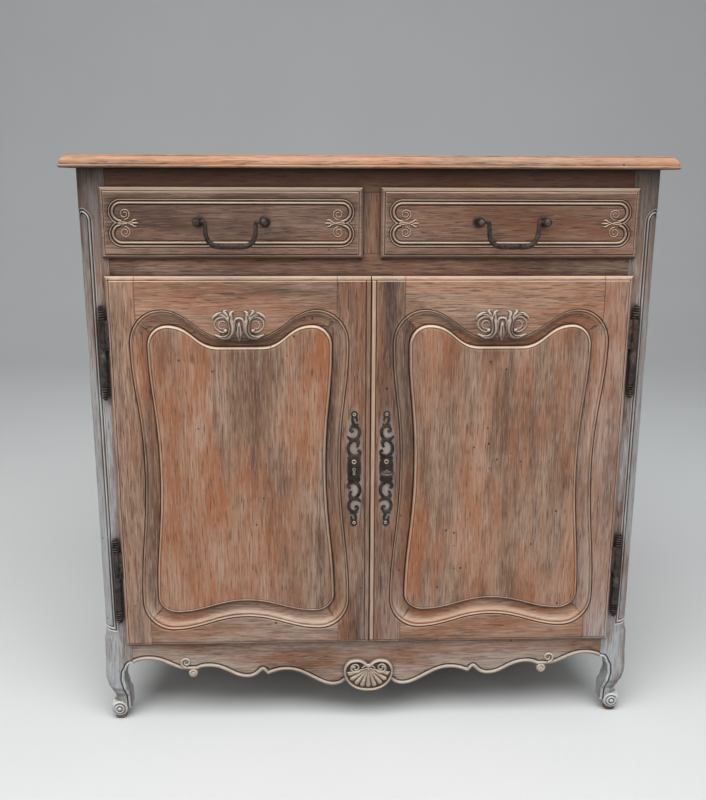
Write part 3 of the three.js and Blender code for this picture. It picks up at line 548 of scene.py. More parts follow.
def studTree():
    # a domed nail head on every point
    sizes = [("Stud Radius", "NodeSocketFloat"), ("Stud Height", "NodeSocketFloat"),
             ("Seed", "NodeSocketInt"), ("Material", "NodeSocketMaterial")]
    tree, source, add, closeWith = newTree("studOnPoint", sizes)
    ball = add("GeometryNodeMeshUVSphere", None, {"Segments": 14, "Rings": 8, "Radius": 1.0})
    scale = add("ShaderNodeCombineXYZ", None, {"X": source.outputs["Stud Radius"],
                                               "Y": source.outputs["Stud Height"],
                                               "Z": source.outputs["Stud Radius"]})
    spread = add("FunctionNodeRandomValue", {"data_type": "FLOAT"},
                 {"Min_001": -0.12, "Max_001": 0.12, "Seed": source.outputs["Seed"]})
    tilt = add("ShaderNodeCombineXYZ", None, {"X": spread.outputs[1], "Z": spread.outputs[1]})
    studs = add("GeometryNodeInstanceOnPoints", None,
                {"Points": source.outputs["Geometry"], "Instance": ball.outputs[0],
                 "Rotation": tilt.outputs[0], "Scale": scale.outputs[0]})
    closeWith(studs.outputs[0])
    return tree


def fluteTree():
    # copies of a rib turned about y and scaled to the length that each point carries
    sizes = [("Rib", "NodeSocketObject"), ("Rib Width", "NodeSocketFloat"),
             ("Rib Height", "NodeSocketFloat"), ("Material", "NodeSocketMaterial")]
    tree, source, add, closeWith = newTree("fluteFan", sizes)
    rib = add("GeometryNodeObjectInfo", None, {"Object": source.outputs["Rib"]})
    angle = add("GeometryNodeInputNamedAttribute", {"data_type": "FLOAT"}, {"Name": "fluteAngle"})
    length = add("GeometryNodeInputNamedAttribute", {"data_type": "FLOAT"}, {"Name": "fluteLength"})
    turn = add("FunctionNodeAxisAngleToRotation", None, {"Axis": (0, 1, 0), "Angle": angle.outputs[0]})
    scale = add("ShaderNodeCombineXYZ", None,
                {"X": source.outputs["Rib Width"], "Y": source.outputs["Rib Height"],
                                               "Z": length.outputs[0]})
    ribs = add("GeometryNodeInstanceOnPoints", None,
               {"Points": source.outputs["Geometry"], "Instance": rib.outputs["Geometry"],
                "Rotation": turn.outputs[0], "Scale": scale.outputs[0]})
    closeWith(ribs.outputs[0])
    return tree


trees = {"bead": beadTree(), "stud": studTree(), "flute": fluteTree()}


def grown(name, points, edges, attributes, tree, settings):
    # runs a node tree on loose points or lines and keeps the result as a plain mesh
    mesh = bpy.data.meshes.new(name + "Lines")
    placed = np.asarray(points, float) * millimetre
    placed[:, 1] += facePlane
    mesh.from_pydata(placed.tolist(), edges, [])
    for label, values in attributes.items():
        mesh.attributes.new(label, "FLOAT", "POINT").data.foreach_set("value",
                                                                      np.asarray(values, np.float32))
    carrier = bpy.data.objects.new(name + "Carrier", mesh)
    bpy.context.scene.collection.objects.link(carrier)
    modifier = carrier.modifiers.new("nodes", "NODES")
    modifier.node_group = trees[tree]
    for item in trees[tree].interface.items_tree:
        if item.in_out == "INPUT" and item.name in settings:
            modifier[item.identifier] = settings[item.name]
    bpy.context.view_layer.update()
    graph = bpy.context.evaluated_depsgraph_get()
    made = bpy.data.meshes.new_from_object(carrier.evaluated_get(graph))
    made.name = name
    bpy.data.objects.remove(carrier)
    piece = bpy.data.objects.new(name, made)
    bpy.context.scene.collection.objects.link(piece)
    return piece


def beads(name, strokes, finish, plane=0.0, flatness=1.0, sides=12):
    # strokes of [x, y, z, radius] rows with one wear-and-painted-shading value each
    points = []
    edges = []
    wearAndShading = []
    for line, wornAndShaded in strokes:
        start = len(points)
        points.extend(line.tolist())
        edges.extend((start + k, start + k + 1) for k in range(len(line) - 1))
        wearAndShading.extend([wornAndShaded] * len(line))
    points = np.array(points)
    settings = {"Plane": facePlane + plane * millimetre, "Flatness": flatness, "Sides": sides,
                "Material": finishes[finish]}
    attributes = {"beadRadius": points[:, 3] * millimetre, "wearAndShading": wearAndShading}
    return grown(name, points[:, :3], edges, attributes, "bead", settings)


def studs(name, points, radius, height, finish, seed=1):
    settings = {"Stud Radius": radius * millimetre, "Stud Height": height * millimetre, "Seed": seed,
                "Material": finishes[finish]}
    return grown(name, points, [], {"wearAndShading": [0.6] * len(points)}, "stud", settings)


def flatStroke(points, y, side=1, centre=(0.0, 0.0), steps=6):
    # given [x, z, radius] rows on a plane of constant y
    path = smoothPath(points, steps)
    return np.stack([side * path[:, 0] + centre[0], np.full(len(path), y), path[:, 1] + centre[1],
                     path[:, 2]], -1)


def spiralStroke(centre, y, outer, inner, turns, radius, startAngle=90.0, side=1, tip=0.4):
    t = np.linspace(0, 1, int(24 * turns))
    reach = outer + (inner - outer) * t
    angle = np.radians(startAngle) + side * 2 * np.pi * turns * t
    thick = radius * (1 - (1 - tip) * t)
    return np.stack([centre[0] + reach * np.cos(angle), np.full(len(t), y),
                     centre[1] + reach * np.sin(angle), thick], -1)


# ---- top board ----

topBoard = {"nose": 5.2, "fillet": 1.6, "roundOver": 13.0, "rise": 13.6, "corner": 3.0, "backLine": 60,
            "frontSteps": 40, "arcSteps": 8, "arcStart": 4}


def makeTopBoard():
    low, high = boxOf("top_board")

    def rim(inset, height):
        x = high.x - inset
        front = low.y + inset
        corner = topBoard["corner"]
        arc = [math.radians(a) for a in (0, 30, 60, 90)]
        right = [(x - corner + corner * math.sin(a), front + corner - corner * math.cos(a)) for a in arc]
        back = [(x, high.y - topBoard["backLine"]), (x, high.y)]
        side = right + back
        spread = [(-a, b) for a, b in reversed(side)]
        count = topBoard["frontSteps"]
        frontLine = [(-x + corner + (2 * (x - corner)) * k / count, front) for k in range(1, count)]
        return np.array([(a, b, height) for a, b in side + spread + frontLine])

    t = topBoard
    rows = [(3.4, low.z, -0.2), (1.9, low.z + 0.4, 0.0), (0.6, low.z + 1.5, 0.15), (0.0, low.z + 3.0, 0.25),
            (0.2, low.z + t["nose"] - 0.8, 0.3), (1.0, low.z + t["nose"], 0.2),
            (t["fillet"], low.z + t["nose"] + 0.1, -0.3)]
    for k in range(t["arcSteps"] + 1):
        angle = math.radians(t["arcStart"] + (90 - t["arcStart"]) * k / t["arcSteps"])
        inset = t["fillet"] + t["roundOver"] * (1 - math.cos(angle))
        rows.append((inset, low.z + t["nose"] + 0.3 + t["rise"] * math.sin(angle),
                     0.05 + 0.15 * math.sin(2 * angle)))
    last = rows[-1]
    rows.append((last[0] + 0.8, high.z, 0.2))
    rows.append((last[0] + 6.0, high.z, 0.0))
    board = loopStack("topBoard", [rim(i, h) for i, h, _ in rows], [w for _, _, w in rows], 0.3, 24)
    settle(board, "carcass", "topAcross", "warm_oak", "top_board")


makeTopBoard()
print("top board done")


# ---- lipped edge shared by drawers and doors: distance in from the edge, depth, wear and painted shading ----

lipProfile = [(0.0, 8.8, 0.0), (0.15, 7.0, 0.3), (0.6, 5.4, 0.3), (1.4, 4.0, 0.15), (2.6, 2.9, 0.1),
              (4.0, 2.1, 0.25), (5.2, 1.75, 0.5), (6.0, 1.9, 0.3), (6.35, 2.7, -0.6), (6.8, 2.7, -0.6),
              (7.1, 1.2, 0.0), (7.9, 0.25, 0.5), (9.0, 0.0, 0.1)]
lipSteps = [k[0] for k in lipProfile]
# the lip stands over the frame as far as its reach; a line each side of that keeps the step behind it sharp
lip = {"reach": 10.5, "lines": {10.4, 10.6}, "back": -0.5}


# ---- drawer fronts ----

cartouche = {"halfWidth": 199.0, "lobe": 21.5, "lobeRise": 17.5, "cornerShare": 20, "quarterCount": 40}
cartoucheProfile = [(1.4, 0.0, 0.0), (0.5, 0.3, 0.1), (0.1, 2.2, -0.9), (-0.5, 2.3, -0.9), (-0.9, 1.0, 0.1),
                    (-1.6, 0.5, 0.45), (-2.4, 0.5, 0.45), (-3.0, 1.1, 0.1), (-3.5, 2.8, -0.7),
                    (-4.4, 3.0, -0.7), (-5.2, 2.2, 0.0), (-6.0, 0.9, 0.4), (-7.2, 0.2, 0.6),
                    (-8.4, 0.6, 0.4), (-9.3, 1.7, 0.0), (-9.9, 2.9, -0.6), (-10.6, 2.9, -0.6),
                    (-11.4, 1.3, 0.0), (-12.8, 1.1, 0.0)]


def cartoucheLoop(grow, centre, y):
    c = cartouche
    radius = c["lobe"] + grow
    lobeX = c["halfWidth"] - c["lobe"]
    dip = math.asin(min(1.0, c["lobeRise"] / radius))
    straight = 14
    quarter = [(lobeX * k / straight, c["lobeRise"] + radius) for k in range(straight)]
    sweep = np.linspace(math.pi / 2, -dip, c["quarterCount"] - straight + 1)
    quarter += [(lobeX + radius * math.cos(a), c["lobeRise"] + radius * math.sin(a)) for a in sweep]
    return quarterLoop(quarter, centre, y)


def quarterLoop(quarter, centre, y):
    # mirrors a quarter outline, from the top middle round to the right middle, into a whole loop
    right = quarter + [(a, -b) for a, b in reversed(quarter[:-1])]
    left = [(-a, b) for a, b in reversed(right[1:-1])]
    return np.array([(centre[0] + a, y, centre[1] + b) for a, b in right + left])


def plateLoop(halfWidth, halfHeight, centre, y):
    c = cartouche
    n = c["quarterCount"]
    corner = c["cornerShare"]
    quarter = [(halfWidth * k / corner, halfHeight) for k in range(corner)]
    quarter += [(halfWidth, halfHeight * (n - k) / (n - corner)) for k in range(corner, n + 1)]
    return quarterLoop(quarter, centre, y)


drawerPlank = {"left": 1.3, "right": 2.1}
drawerCurl = {"face": 0.72, "eyeX": 172, "eyeZ": 14.5, "outer": 8.8, "inner": 2.4, "turns": 1.6,
              "radius": 0.85}


def makeDrawerFront(name):
    low, high = boxOf("drawer_front_" + name)
    centre = ((low.x + high.x) / 2, (low.z + high.z) / 2)
    half = ((high.x - low.x) / 2, (high.z - low.z) / 2)
    loops = []
    wearsAndShadings = []
    for inset, y, wornAndShaded in [(14, high.y, 0), (11.5, high.y - 1, 0), (11.2, lip["back"], 0),
                           (0.6, lip["back"], 0)]:
        loops.append(plateLoop(half[0] - inset, half[1] - inset, centre, y))
        wearsAndShadings.append(wornAndShaded)
    for distance, depth, wornAndShaded in lipProfile:
        loops.append(plateLoop(half[0] - distance, half[1] - distance, centre, low.y + depth))
        wearsAndShadings.append(wornAndShaded)
    for grow, depth, wornAndShaded in cartoucheProfile:
        loops.append(cartoucheLoop(grow, centre, low.y + depth))
        wearsAndShadings.append(wornAndShaded)
    plate = loopStack("drawerFront" + name.title(), loops, wearsAndShadings, drawerPlank[name], 26)
    settle(plate, "drawer_" + name, "drawerAcross", "aged_oak", "drawer_front_" + name)

    # incised curls and a small flower at each end of the cartouche
    strokes = []
    c = drawerCurl
    y = low.y + c["face"]
    for end in (-1, 1):
        for up in (-1, 1):
            eye = (centre[0] + end * c["eyeX"], centre[1] + up * c["eyeZ"])
            turn = spiralStroke(eye, y, c["outer"], c["inner"], c["turns"], c["radius"], -90.0 * up,
                                -end * up, 0.7)
            strokes.append((turn, 1.0))
            leaf = flatStroke([[-153, up * 4.6, 0.4], [-157, up * 5.2, 1.3], [-161, up * 2.4, 1.1],
                               [-166, up * 0.6, 0.7]], y, -end, centre)
            strokes.append((leaf, 0.9))
            stem = flatStroke([[-166, 0, 0.6], [-176, up * 1.5, 0.9], [-183, up * 0.4, 0.6]], y, -end,
                              centre)
            strokes.append((stem, 0.9))
        middle = flatStroke([[-150, 0, 0.4], [-155, 0, 1.5], [-161, 0, 1.0]], y, -end, centre)
        strokes.append((middle, 0.9))
    curls = beads("drawerCurls" + name.title(), strokes, "drawerAcross", low.y + 0.7, 1.0, 8)
    settle(curls, "drawer_" + name, "drawerAcross", "aged_oak")


for name in sideNames:
    makeDrawerFront(name)
print("drawer fronts done")


# ---- doors ----

doorEdge = {"outerJoint": 171.35, "meetingJoint": -163.65}
panelCurve = {"halfFoot": 157.0, "halfWaist": 143.0, "halfTop": 155.0, "lowX": 122.0, "lowZ": 221.0,
              "riseZ": 242.0, "footZ": 252.0, "waistZ": 495.0, "shoulderZ": 706.0, "humpX": 121.0,
              "humpZ": 742.0, "dipX": 36.0, "dipZ": 705.5}
mouldingCurve = {"halfFoot": 184.5, "halfWaist": 169.0, "halfTop": 184.0, "lowX": 131.0, "lowZ": 188.0,
                 "riseZ": 212.0, "footZ": 247.0, "waistZ": 500.0, "shoulderZ": 710.0, "humpX": 129.0,
                 "humpZ": 769.5, "dipX": 24.0, "dipZ": 721.0}
# share of the way from the moulding's outer edge to the panel, depth below the frame's face, wear and
# painted shading
doorProfile = [(0.0, 0.0, 0.1), (0.02, 0.4, 0.0), (0.035, 2.4, -0.8), (0.06, 2.5, -0.8), (0.078, 1.3, 0.1),
               (0.105, 0.6, 0.4), (0.14, 0.6, 0.45), (0.17, 1.3, 0.2), (0.19, 2.3, -0.3), (0.23, 2.5, -0.25),
               (0.255, 2.3, 0.1), (0.29, 2.5, 0.25), (0.33, 3.1, 0.3), (0.38, 4.1, 0.25), (0.44, 5.2, 0.2),
               (0.52, 6.3, 0.1), (0.62, 7.2, 0.05), (0.74, 7.9, 0.0), (0.86, 8.3, 0.0), (0.95, 8.5, 0.0),
               (0.985, 8.7, -0.3), (1.0, 9.5, -0.9)]


def bezier(a, b, c, d, t):
    a, b, c, d = (np.array(p, float) for p in (a, b, c, d))
    return a * (1 - t) ** 3 + 3 * b * t * (1 - t) ** 2 + 3 * c * t ** 2 * (1 - t) + d * t ** 3


def serpentineAt(curve, s, grow=0.0):
    # point on the door outline, from s = 0 at the bottom middle up the right side to s = 7 at the top middle
    # s below 0 or above 7 mirrors to the left
    c = curve
    if s < 0:
        x, z = serpentineAt(curve, -s, grow)
        return np.array([-x, z])
    if s > 7:
        x, z = serpentineAt(curve, 14 - s, grow)
        return np.array([-x, z])
    foot, waist, shoulder = c["halfFoot"] + grow, c["halfWaist"] + grow, c["halfTop"] + grow
    low, rise, hump, dip = c["lowZ"] - grow, c["riseZ"] - grow, c["humpZ"] + grow, c["dipZ"] + grow
    lowX, humpX, dipX = c["lowX"], c["humpX"], c["dipX"]
    footZ, waistZ, shoulderZ = c["footZ"], c["waistZ"], c["shoulderZ"]
    roundness = 0.56
    pieces = [
        ((0, rise), (lowX * 0.42, rise), (lowX * 0.62, low), (lowX, low)),
        ((lowX, low), (lowX + (foot - lowX) * roundness, low), (foot, footZ - (footZ - low) * roundness),
         (foot, footZ)),
        ((foot, footZ), (foot, footZ + 90), (waist, waistZ - 110), (waist, waistZ)),
        ((waist, waistZ), (waist, waistZ + 100), (shoulder, shoulderZ - 80), (shoulder, shoulderZ)),
        ((shoulder, shoulderZ), (shoulder, shoulderZ + (hump - shoulderZ) * roundness),
         (humpX + (shoulder - humpX) * roundness, hump), (humpX, hump)),
        ((humpX, hump), (humpX - 42, hump), (dipX + 40, dip), (dipX, dip)),
        ((dipX, dip), (dipX * 0.67, dip), (dipX * 0.33, dip), (0, dip)),
    ]
    index = min(int(s), 6)
    return bezier(*pieces[index], s - index)


def sideCrossing(segment, joint):
    # where the moulding's outer line crosses a joint, by halving
    low, high = segment, segment + 1.0
    rising = serpentineAt(mouldingCurve, high)[0] > serpentineAt(mouldingCurve, low)[0]
    for _ in range(40):
        middle = (low + high) / 2
        beyond = serpentineAt(mouldingCurve, middle)[0] > joint
        if beyond == rising:
            high = middle
        else:
            low = middle
    return (low + high) / 2


def mouldingPoints(steps):
    # moulding points for each step round the outline: rows of steps, columns of the profile
    shares = np.array([k[0] for k in doorProfile])
    outer = np.array([serpentineAt(mouldingCurve, s) for s in steps])[:, None, :]
    inner = np.array([serpentineAt(panelCurve, s, 0.6) for s in steps])[:, None, :]
    return outer + (inner - outer) * shares[None, :, None]


meetingProfile = [(0.0, 2.2, 0.1), (0.4, 0.9, 0.25), (1.4, 0.25, 0.2), (3.5, 0.0, 0.1), (6.2, 0.1, 0.15),
                  (7.0, 0.7, 0.0), (7.4, 1.7, -0.55), (8.0, 1.7, -0.55), (8.5, 0.6, 0.0), (9.3, 0.1, 0.1),
                  (11.0, 0.0, 0.0)]


rubbedMeeting = [(distance, depth, 0.95 if 1.0 < distance < 6.5 else wornAndShaded) for distance, depth,
                 wornAndShaded in meetingProfile]


def doorSpan(name):
    # outer edge, meeting edge and middle of a door, counted out from the middle of the cabinet
    low, high = boxOf("door_hinge_stile_" + name)
    outer = max(abs(low.x), abs(high.x))
    low, high = boxOf("door_meeting_stile_" + name)
    meeting = min(abs(low.x), abs(high.x))
    return outer, meeting, (outer + meeting) / 2


def makeStile(name, side, isHinge, plank):
    low, high = boxOf("door_hinge_stile_" + name)
    doorLow, doorHigh = low.z, high.z
    front = low.y
    outer, meeting, middle = doorSpan(name)
    if isHinge:
        edge, joint, inward = outer - middle, doorEdge["outerJoint"], -1
        table = lipProfile
        sBottom, sTop = sideCrossing(1, joint), sideCrossing(4, joint)
        around = np.linspace(sBottom, sTop, 150)
    else:
        edge, joint, inward = meeting - middle, doorEdge["meetingJoint"], 1
        table = rubbedMeeting if side > 0 else meetingProfile
        sBottom, sTop = sideCrossing(1, -joint), sideCrossing(4, -joint)
        around = np.linspace(sBottom, sTop, 150) * -1
    moulding = mouldingPoints(around)
    edgeSteps = np.array(sorted(set([k[0] for k in table]) | lip["lines"]))
    endLines = np.array(sorted(set(lipSteps) | lip["lines"] | {16.0, 24.0}))
    zLow = doorLow + endLines
    zHigh = doorHigh - endLines[::-1]
    rowsX = []
    rowsZ = []
    rowsMould = []

    def addRow(z, mouldRow):
        reach = mouldRow[0, 0]
        fill = np.linspace(edge + inward * edgeSteps[-1], reach, 8)[1:-1]
        rowsX.append(np.concatenate([edge + inward * edgeSteps, fill, mouldRow[:, 0]]))
        rowsZ.append(np.concatenate([np.full(len(edgeSteps) + len(fill), z), mouldRow[:, 1]]))

    count = len(doorProfile)
    shoulder = joint - inward * 0.12
    bottomZ = moulding[0, 0, 1]
    topZ = moulding[-1, 0, 1]
    for z in [*zLow[zLow < bottomZ - 1], bottomZ - 0.1]:
        addRow(z, np.stack([np.full(count, shoulder), np.full(count, z)], -1))
        rowsMould.append(False)
    for row in moulding:
        addRow(row[0, 1], row)
        rowsMould.append(True)
    for z in [topZ + 0.1, *zHigh[zHigh > topZ + 1]]:
        addRow(z, np.stack([np.full(count, shoulder), np.full(count, z)], -1))
        rowsMould.append(False)
    x = np.array(rowsX)
    z = np.array(rowsZ)
    isMould = np.array(rowsMould)[:, None]
    across = np.abs(x - edge)
    ends = np.minimum(z - doorLow, doorHigh - z)
    acrossDepth, acrossWearAndShading = profileAt(table, across)
    endDepth, endWearAndShading = profileAt(lipProfile, ends)
    depth = np.maximum(acrossDepth, endDepth)
    wearAndShading = np.where(endDepth > acrossDepth, endWearAndShading, acrossWearAndShading)
    shares = np.array([k[0] for k in doorProfile])
    mouldDepth, mouldWearAndShading = profileAt(doorProfile, shares)
    tail = slice(x.shape[1] - count, None)
    depth[:, tail] = np.where(isMould, mouldDepth[None, :], depth[:, tail])
    wearAndShading[:, tail] = np.where(isMould, mouldWearAndShading[None, :], wearAndShading[:, tail])
    isLip = ends < lip["reach"]
    if isHinge:
        isLip = isLip | (across < lip["reach"])
    back = np.where(isLip, lip["back"], high.y)
    return slabGrid("door" + ("Hinge" if isHinge else "Meeting") + "Stile" + name.title(),
                    x + middle, z, front + depth, back, wearAndShading, side, plank)


def makeDoorRail(name, side, isTop, plank):
    low, high = boxOf("door_hinge_stile_" + name)
    edge = high.z if isTop else low.z
    segment = 4 if isTop else 1
    first = sideCrossing(segment, doorEdge["outerJoint"])
    last = sideCrossing(segment, -doorEdge["meetingJoint"])
    around = np.linspace(first, 14 - last, 170) if isTop else np.linspace(-last, first, 170)
    moulding = mouldingPoints(around)
    inward = -1 if isTop else 1
    steps = np.array(sorted(set(lipSteps) | lip["lines"]))
    fill = np.linspace(0, 1, 8)[1:-1]
    x = []
    z = []
    for row in moulding:
        startZ = edge + inward * steps[-1]
        filled = startZ + (row[0, 1] - startZ) * fill
        x.append(np.concatenate([np.full(len(steps) + len(fill), row[0, 0]), row[:, 0]]))
        z.append(np.concatenate([edge + inward * steps, filled, row[:, 1]]))
    x = np.array(x)
    z = np.array(z)
    distance = np.abs(z - edge)
    depth, wearAndShading = profileAt(lipProfile, distance)
    shares = np.array([k[0] for k in doorProfile])
    mouldDepth, mouldWearAndShading = profileAt(doorProfile, shares)
    count = len(doorProfile)
    depth[:, -count:] = mouldDepth[None, :]
    wearAndShading[:, -count:] = mouldWearAndShading[None, :]
    for end in (0, -1):
        depth[end, :-count] += 0.35
        wearAndShading[end, :-count] = -0.7
    shrink = 1 - 0.0001
    middleX = (x.max() + x.min()) / 2
    x = middleX + (x - middleX) * shrink
    back = np.where(distance < lip["reach"], lip["back"], high.y)
    return slabGrid("door" + ("Top" if isTop else "Bottom") + "Rail" + name.title(),
                    x + doorSpan(name)[2], z, low.y + depth, back, wearAndShading, side, plank)


# inset from the panel's outline, y behind the frame's front, wear and painted shading
panelProfile = [(0.3, 15.5, 0.0), (0.3, 7.5, -0.8), (0.6, 6.2, -0.2), (1.3, 4.6, 0.5), (2.4, 3.1, 0.7),
                (3.4, 2.3, 0.6), (4.2, 2.1, 0.3), (4.9, 2.7, -0.5), (5.4, 3.1, -0.6), (6.0, 2.8, -0.1),
                (7.0, 2.5, 0.1), (10.0, 2.5, 0.0), (22.0, 2.5, 0.0)]


def makeDoorPanel(name, side, plank):
    front = boxOf("door_hinge_stile_" + name)[0].y
    middle = doorSpan(name)[2]
    around = np.concatenate([np.linspace(k, k + 1, 22, endpoint=False) for k in range(7)])
    around = np.concatenate([around, 14 - around[::-1]])
    around = around[np.concatenate([[True], np.diff(around) > 1e-6])]
    around = around[around < 14 - 1e-6]
    loops = []
    for inset, depth, _ in panelProfile:
        line = np.array([serpentineAt(panelCurve, s, -inset) for s in around])
        x = side * (line[:, 0] + middle)
        loops.append(np.stack([x, np.full(len(x), front + depth), line[:, 1]], -1))
    return loopStack("doorPanel" + name.title(), loops, [w for _, _, w in panelProfile], plank, 26)


ornament = {"height": 722.0, "face": -10.8, "swell": 1.12, "rosette": (22.5, 11.0)}


def makeOrnament(name, side):
    centre = (side * doorSpan(name)[2], ornament["height"])
    y = ornament["face"]
    # right half as [x, z, half width] strokes, each with its lift off the face and its wear and painted
    # shading
    halfStrokes = [
        ([[23, 9, 1.6], [28, 8.5, 1.3], [35, 11.5, 1.2], [40.5, 18.5, 1.3], [39.5, 27, 1.5], [32, 33, 2.0],
          [22, 33.5, 3.2], [14.5, 27.5, 4.7], [11.5, 18, 5.5], [12.5, 8.5, 5.2], [18, 1.5, 4.0],
          [28, -0.5, 2.8],
          [41, 4.5, 1.3]], 0.0, 0.5),
        ([[24.5, 14, 0.8], [31, 15, 1.0], [34, 20, 1.1], [31, 26, 1.2], [25, 27, 1.2], [20, 23, 0.9]], 0.3,
         0.5),
        ([[16, 29, 2.8], [25, 37, 3.1], [34, 39, 2.6], [42, 34, 1.6], [44, 29, 0.6]], -0.6, 0.7),
        ([[17, 31, 2.4], [22, 39, 2.8], [24, 44, 1.6], [19, 45.5, 0.5]], -0.3, 0.6),
        ([[12, 24, 2.8], [13.5, 33, 3.0], [13, 41, 2.2], [8, 44.5, 0.6]], -0.9, 0.7),
        # the next three strokes are thin dark lines, painted shade in the carving's cuts
        ([[19, 35, 0.7], [27, 40.4, 0.8], [35, 39.5, 0.6]], -3.4, -1.0),
        ([[14.5, 37, 0.6], [15.5, 27, 1.0], [13.6, 16, 1.2], [15.5, 7.5, 1.1], [22, 2.0, 0.8],
          [31, 1.5, 0.5]], -5.4, -1.0),
        ([[9.6, 25, 0.6], [8.4, 16, 0.9], [9.6, 8, 0.9], [14, 1.5, 0.7]], -4.4, -0.9),
        ([[2.0, 0, 0.9], [5.2, 5.5, 2.0], [6.8, 12, 1.8], [6.8, 19, 0.8]], 0.4, 0.2),
        ([[0, 32.5, 1.9], [5.2, 30.5, 1.9], [7.6, 24.5, 1.7], [6.6, 18, 1.1]], -0.6, 0.8),
    ]
    strokes = []
    for half in (-1, 1):
        for line, lift, wornAndShaded in halfStrokes:
            strokes.append((flatStroke(line, y + lift, half, centre), wornAndShaded))
    bud = [[0, -6.5, 0.4], [0, -2, 2.4], [0, 5, 4.3], [0, 13, 4.0], [0, 21, 2.6], [0, 26, 0.6]]
    strokes.append((flatStroke(bud, y - 0.8, 1, centre), 0.5))
    # a thin dark line down the bud, painted shade in its cut
    budShadowLine = [[0, -1, 0.4], [0, 6, 0.9], [0, 14, 0.8], [0, 20, 0.4]]
    strokes.append((flatStroke(budShadowLine, y - 5.2, 1, centre), -1.0))
    strokes = [(line * (1, 1, 1, ornament["swell"]), wornAndShaded) for line, wornAndShaded in strokes]
    carving = beads("doorCarving" + name.title(), strokes, "carvedUp", y, 0.95, 14)
    # dark low patches behind the scrolls, painted shadow where the carving is cut back
    shadowPatches = []
    for half in (-1, 1):
        shadowPatches.append((flatStroke([[5, 31, 3], [8, 20, 5], [9, 6, 6.5], [14, -1, 4], [26, -4, 2]],
                                   y + 1.6, half, centre), -1.0))
        shadowPatches.append((flatStroke([[15, 14, 2], [20, 8, 4], [25, 6, 3], [30, 5, 1.5]], y + 1.6, half,
                                   centre), -1.0))
    shadowPatch = beads("doorCarvingGround" + name.title(), shadowPatches, "carvedUp", y + 1.6, 0.14, 12)
    outX, upZ = ornament["rosette"]
    rosettes = [(centre[0] + half * outX, y - 1.0, centre[1] + upZ) for half in (-1, 1)]
    balls = studs("doorRosettes" + name.title(), rosettes, 3.6, 3.0, "carvedUp", 3)
    return joinPieces("doorOrnament" + name.title(), [carving, shadowPatch, balls])


# which cut of the grain each board shows
doorPlanks = {"hingeStile": 3.2, "meetingStile": 4.1, "topRail": 5.7, "bottomRail": 6.9}
panelPlanks = {"left": 8.2, "right": 7.4}
rightShift = 0.4
hingeStileFinish = {"left": "agedUp", "right": "skyTintStileUp"}


def makeDoor(name, side):
    body = "door_" + name
    plank = {board: cut + (rightShift if side > 0 else 0.0) for board, cut in doorPlanks.items()}
    stile = makeStile(name, side, True, plank["hingeStile"])
    settle(stile, body, hingeStileFinish[name], "aged_oak", "door_hinge_stile_" + name)
    stile = makeStile(name, side, False, plank["meetingStile"])
    settle(stile, body, "plateUp", "aged_oak", "door_meeting_stile_" + name)
    rail = makeDoorRail(name, side, True, plank["topRail"])
    settle(rail, body, "agedAcross", "aged_oak", "door_top_rail_" + name)
    rail = makeDoorRail(name, side, False, plank["bottomRail"])
    settle(rail, body, "agedAcross", "aged_oak", "door_bottom_rail_" + name)
    panel = makeDoorPanel(name, side, panelPlanks[name])
    settle(panel, body, "warmUp", "warm_oak", "door_panel_" + name)
    settle(makeOrnament(name, side), body, "carvedUp", "warm_oak")


for name, side in sideNames.items():
    makeDoor(name, side)
print("doors done")


# ---- apron, front posts and legs ----

apron = {"steepest": 1.8, "faceShares": (0.08, 0.2, 0.45, 0.75, 0.95, 0.985, 1.0), "topEase": 0.8,
         "plank": 8.2, "mortiseHalf": 9.5, "mortiseDrop": 40.0, "mortiseGap": 1.2}
# a curl rising on the face beside the break in the edge, and the drop that curls under it
apronCurl = {"x": 333, "y": -0.6, "z": 119.5, "outer": 10.0, "inner": 2.2, "turns": 1.4, "radius": 2.5}
apronDrop = {"x": 321, "y": -1.4, "z": 98.4, "outer": 6.2, "inner": 1.5, "turns": 1.2, "radius": 2.4}
dropProfile = [(0.4, -3.6, 0.7), (3.2, -3.0, 0.5), (4.6, -2.2, -0.6), (6.5, -2.6, 0.6), (8.0, -1.4, 0.5),
               (8.6, 1.0, 0.2), (8.6, 22.0, 0.0), (7.6, 23.6, 0.0), (0.4, 23.8, 0.0)]
dropCentre = {"x": 321, "z": 98}
apronCurlWearAndShading = 0.75
apronBead = [(0.0, 3.6, 0.1), (0.5, 1.9, 0.2), (1.4, 0.5, 0.3), (2.7, -0.7, 0.5), (4.2, -1.2, 0.6),
             (5.8, -0.9, 0.55), (7.0, 0.0, 0.3), (7.7, 1.3, -0.2), (8.1, 2.6, -0.9), (9.3, 2.7, -0.9),
             (9.9, 1.1, -0.2), (10.9, 0.15, 0.0), (12.5, 0.0, 0.0)]
# lower edge from the shell out to the leg: curve handles and corners as (x, z)
apronEdge = [((0, 59.5), (20, 59.5), (36, 64), (42, 76)), ((42, 76), (47, 70), (55, 67), (65, 67)),
             ((65, 67), (92, 67), (118, 99), (149, 99)), ((149, 99), (164, 99), (172, 96), (185, 90.5)),
             ((185, 90.5), (188, 93.5), (191, 97), (194, 100)),
             ((194, 100), (202, 90), (211, 85.5), (222, 85.5)),
             ((222, 85.5), (250, 85.5), (262, 108.5), (292, 108.5)),
             ((292, 108.5), (303, 108.5), (308, 106), (312, 103)),
             ((312, 103), (319, 103.2), (327, 103.4), (334, 103.5)),
             ((334, 103.5), (356, 103.5), (372, 124.5), (401, 124.5)),
             ((401, 124.5), (412, 124.5), (421, 122), (430, 117))]
post = {"halfWidth": 480.0, "width": 50.0, "depth": 46.0, "corner": 28.0, "legTop": 178.0}
